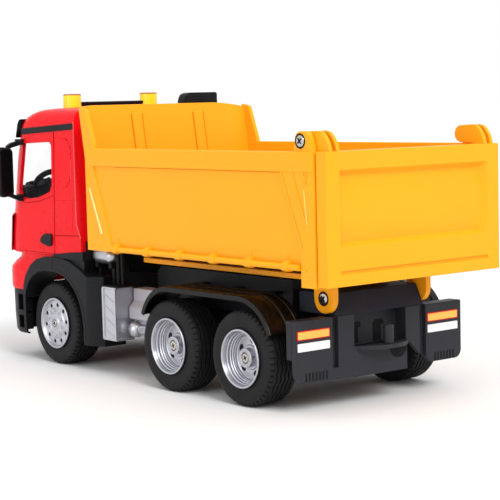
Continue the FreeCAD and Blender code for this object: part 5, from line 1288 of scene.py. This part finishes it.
piece("stepped_block", steps_shape, "light_grey", "battery_box", extra=True)
cap_shape = bmesh.new()
bmesh.ops.create_uvsphere(cap_shape, u_segments=40, v_segments=24, radius=5.1 * MM,
                          matrix=Matrix.Translation(at(198, 47.6, 29.6)))
bar(cap_shape, at(184, 46, 29.6), at(200, 46, 29.6), 3.4, sides=40)
piece("round_reservoir", cap_shape, "silver_plastic", "battery_box", extra=True)
lid = bmesh.new()
block(lid, (200, 221), (40, 58.4), (56, 56.6))
round_edges(lid, 0.2)
piece("box_lid", lid, "black_plastic", "battery_box", extra=True)

# %% Fuel tank
tank, tank_straps = bmesh.new(), bmesh.new()
plate(tank, [(-59.6, 24.4, 4.5), (-37, 24.4, 4.5), (-37, 55.6, 4.5), (-59.6, 55.6, 4.5)], "station", 176.8,
      216.4)
round_edges(tank, 0.8, angle=50)
for station in (183, 206):
    plate(tank_straps, [(-60, 24, 4.8), (-36.6, 24, 4.8), (-36.6, 56, 4.8), (-60, 56, 4.8)], "station",
          station, station + 3)
round_edges(tank_straps, 0.2, angle=50)
bar(tank_straps, at(195, -54, 55.4), at(195, -54, 56.4), 4.2, 4.0, sides=40)
piece("fuel_tank_shell", tank, "silver_plastic", "fuel_tank")
piece("fuel_tank_straps", tank_straps, "black_plastic", "fuel_tank", extra=True)

# %% [markdown]
# An air tank with domed ends lies on each side between the cab and the bed, held in dark posts.
# %% Air tanks and posts
DRUM_REAR, DRUM_LENGTH, DRUM_LEFT, DRUM_HEIGHT = 213.6, 22.2, 50, 74
dome = [(0, 0), (0.25, 1.6), (0.9, 3.1), (2.0, 4.3), (3.4, 5.0), (5, 5.2)]
drum = dome + [(DRUM_LENGTH - out, radius) for out, radius in reversed(dome)]
air = bmesh.new()
for side in (-1, 1):
    left = side * DRUM_LEFT
    turn_round(air, [at(DRUM_REAR + out, left, DRUM_HEIGHT + radius) for out, radius in drum],
               at(DRUM_REAR, left, DRUM_HEIGHT), (1, 0, 0), 48)
piece("air_tank_drums", air, "silver_plastic", "air_tanks")
posts = bmesh.new()
for side in (-1, 1):
    for station, width in ((206.8, 1.1), (211.3, 1.4)):
        bar(posts, at(station, side * 50.4, 56.4), at(station, side * 50.4, 78.6), width, sides=16)
    for station in (213.8, 229):
        block(posts, (station, station + 3.4), on_side(side, 46, 54), (66.6, 70.4))
        block(posts, (station + 0.4, station + 3), on_side(side, 48.4, 51.6), (56.4, 68))
round_edges(posts, 0.25, angle=50)
piece("air_tank_posts", posts, "frame_black", "air_tanks", extra=True)

# %% [markdown]
# Inside the cab, a dashboard rises in two steps to the windscreen, with three round dials, and the
# seats have a cushion, a back and a headrest.
# %% Dashboard and seats
dash = bmesh.new()
plate(dash, [(309.5, 74.5), (322, 74.5), (326.6, 108, 1.5), (324.8, 117.2, 1.5), (316, 118.8, 2),
             (309, 115.4, 2.5), (305, 106, 3), (306.5, 99, 2)], "left", -47, 47)
for low, high in ((47, 56), (-56, -47)):
    plate(dash, [(309.2, 76), (319.4, 76), (319.4, 112, 1.5), (317.6, 116.4, 1.5), (309.2, 115.2, 1.5)],
          "left", low, high)
round_edges(dash, 0.8, angle=40)
for left in (-6, -1.5, 3):
    bar(dash, at(306.6, left, 110.6), at(308.4, left, 110.9), 1.6, 1.3, sides=20)
piece("dashboard_stepped", dash, "cabin_black", "dashboard")
seat_shape = bmesh.new()
for side in (-1, 1):
    low, high = on_side(side, 16, 42)
    plate(seat_shape, [(259, 74.4), (285.5, 74.4), (286.5, 91, 4), (268, 93, 2), (259, 93)], "left", low,
          high)
    plate(seat_shape, [(258, 90, 2), (267, 90, 2), (264.6, 121.5, 3), (258, 122, 3)], "left", low + 1.5,
          high - 1.5)
    plate(seat_shape, [(258.2, 121), (263.4, 121), (263, 130.5, 2), (258.6, 130.5, 2)], "left", low + 7,
          high - 7)
round_edges(seat_shape, 1.0, angle=40)
piece("seats_cushioned", seat_shape, "cabin_black", "seats")

# %% [markdown]
# The steering wheel has a thick rim, a hub and three spokes. It is drawn upright about the
# truck's width, which is the helper's axle, and then turned to face the seat and leant back.
# %% Steering wheel
RIM_RADIUS, RIM_THICK = 8.6, 1.9
wheel_shape = bmesh.new()
hub = at(307.3, 39.5, 119)
around = [math.tau * k / 12 for k in range(13)]
lathe(wheel_shape, [(RIM_THICK * math.sin(turn), RIM_RADIUS + RIM_THICK * math.cos(turn)) for turn in around],
      hub, 1, 56)
lathe(wheel_shape, [(-0.8, 0), (-0.8, 2.2), (0.8, 1.9), (1, 0)], hub, 1, 32)
for turn in (0.2, math.pi - 0.2, math.pi * 1.5):
    out = Vector((math.cos(turn), 0, math.sin(turn))) * MM
    bar(wheel_shape, hub + out * 1.4, hub + out * 8, 0.8, 0.65, sides=12)
bar(wheel_shape, hub, hub + Vector((0, -14 * MM, 0)), 1.5, sides=20)
face_seat = Matrix.Rotation(math.radians(-90), 4, "Z")
lean_back = Matrix.Rotation(math.radians(-48), 4, "Y")
turned = Matrix.Translation(hub) @ lean_back @ face_seat @ Matrix.Translation(-hub)
bmesh.ops.transform(wheel_shape, matrix=turned, verts=wheel_shape.verts)
piece("steering_wheel_rim", wheel_shape, "cabin_black", "steering_wheel")

# %% [markdown]
# The studio is a pale floor, far wider than the view, and a pale surround.
# %% Floor
floor_mesh = bpy.data.meshes.new("studio floor")
floor_shape = bmesh.new()
bmesh.ops.create_grid(floor_shape, x_segments=1, y_segments=1, size=30)
floor_shape.to_mesh(floor_mesh)
floor_shape.free()
floor = bpy.data.objects.new("studio_floor", floor_mesh)
bpy.context.scene.collection.objects.link(floor)
paper = bpy.data.materials.new("white paper")
paper.use_nodes = True
paper_inputs = paper.node_tree.nodes["Principled BSDF"].inputs
paper_inputs["Base Color"].default_value = (0.86, 0.86, 0.86, 1)
paper_inputs["Roughness"].default_value = 0.9
paper_inputs["Specular IOR Level"].default_value = 0.0
floor_mesh.materials.append(paper)

# %% [markdown]
# The surround is full white to the camera, in glossy reflections and through the windows. For the
# light it casts on the truck it is dimmer, and more so near the ground than overhead.
# %% World
world = bpy.data.worlds.new("soft studio")
bpy.context.scene.world = world
world.use_nodes = True
world_nodes, world_links = world.node_tree.nodes, world.node_tree.links
backdrop = world_nodes["Background"]
backdrop.inputs["Color"].default_value = (1, 1, 1, 1)
path = world_nodes.new("ShaderNodeLightPath")
seen, through = world_nodes.new("ShaderNodeMath"), world_nodes.new("ShaderNodeMath")
seen.operation = through.operation = "MAXIMUM"
world_links.new(path.outputs["Is Glossy Ray"], through.inputs[0])
world_links.new(path.outputs["Is Transmission Ray"], through.inputs[1])
world_links.new(path.outputs["Is Camera Ray"], seen.inputs[0])
world_links.new(through.outputs[0], seen.inputs[1])
toward = world_nodes.new("ShaderNodeTexCoord")
split = world_nodes.new("ShaderNodeSeparateXYZ")
world_links.new(toward.outputs["Generated"], split.inputs[0])
sky = world_nodes.new("ShaderNodeMapRange")
for socket, level in (("From Min", -0.1), ("From Max", 0.9), ("To Min", 0.3), ("To Max", 0.85)):
    sky.inputs[socket].default_value = level
world_links.new(split.outputs["Z"], sky.inputs["Value"])
strength = world_nodes.new("ShaderNodeMapRange")
world_links.new(sky.outputs["Result"], strength.inputs["To Min"])
strength.inputs["To Max"].default_value = 1.0
world_links.new(seen.outputs[0], strength.inputs["Value"])
world_links.new(strength.outputs["Result"], backdrop.inputs["Strength"])

# %% [markdown]
# Three wide soft suns light the truck evenly from the rear, from above and from the left, so
# colours render about as they are written.
# %% Suns


def sun(name, power, softness, azimuth, elevation):
    """A sun that shines from a compass angle, counted from +X to +Y, and a height, in degrees."""
    lamp = bpy.data.lights.new(name, "SUN")
    lamp.energy = power
    lamp.angle = math.radians(softness)
    lamp_object = bpy.data.objects.new(name, lamp)
    a, e = math.radians(azimuth), math.radians(elevation)
    away = Vector((math.cos(a) * math.cos(e), math.sin(a) * math.cos(e), math.sin(e)))
    lamp_object.rotation_mode = "QUATERNION"
    lamp_object.rotation_quaternion = away.to_track_quat("Z", "Y")
    bpy.context.scene.collection.objects.link(lamp_object)


sun("key sun", 1.6, 24, 168, 40)
sun("top sun", 0.7, 60, 205, 72)
sun("side sun", 0.7, 40, 97, 17)

# %% [markdown]
# The camera stands low behind the truck's left corner, as the photographer did, with a long
# lens that keeps the sides almost parallel.
# %% Camera
YAW, PITCH, ROLL = 0.68, 0.0936, -0.0243
LENS_MM, SENSOR_MM = 115.2, 36
CAMERA_SPOT = at(-609.6, 608.8, 169.1)
ahead = Vector((math.cos(YAW) * math.cos(PITCH), -math.sin(YAW) * math.cos(PITCH), -math.sin(PITCH)))
level = ahead.cross(Vector((0, 0, 1))).normalized()
upright = level.cross(ahead)
right = math.cos(ROLL) * level + math.sin(ROLL) * upright
up = -math.sin(ROLL) * level + math.cos(ROLL) * upright
lens = bpy.data.cameras.new("camera")
lens.lens = LENS_MM
lens.sensor_width = SENSOR_MM
camera = bpy.data.objects.new("camera", lens)
camera.matrix_world = Matrix.Translation(CAMERA_SPOT) @ Matrix((right, up, -ahead)).transposed().to_4x4()
bpy.context.scene.collection.objects.link(camera)
bpy.context.scene.camera = camera
bpy.context.scene.view_settings.view_transform = "Standard"
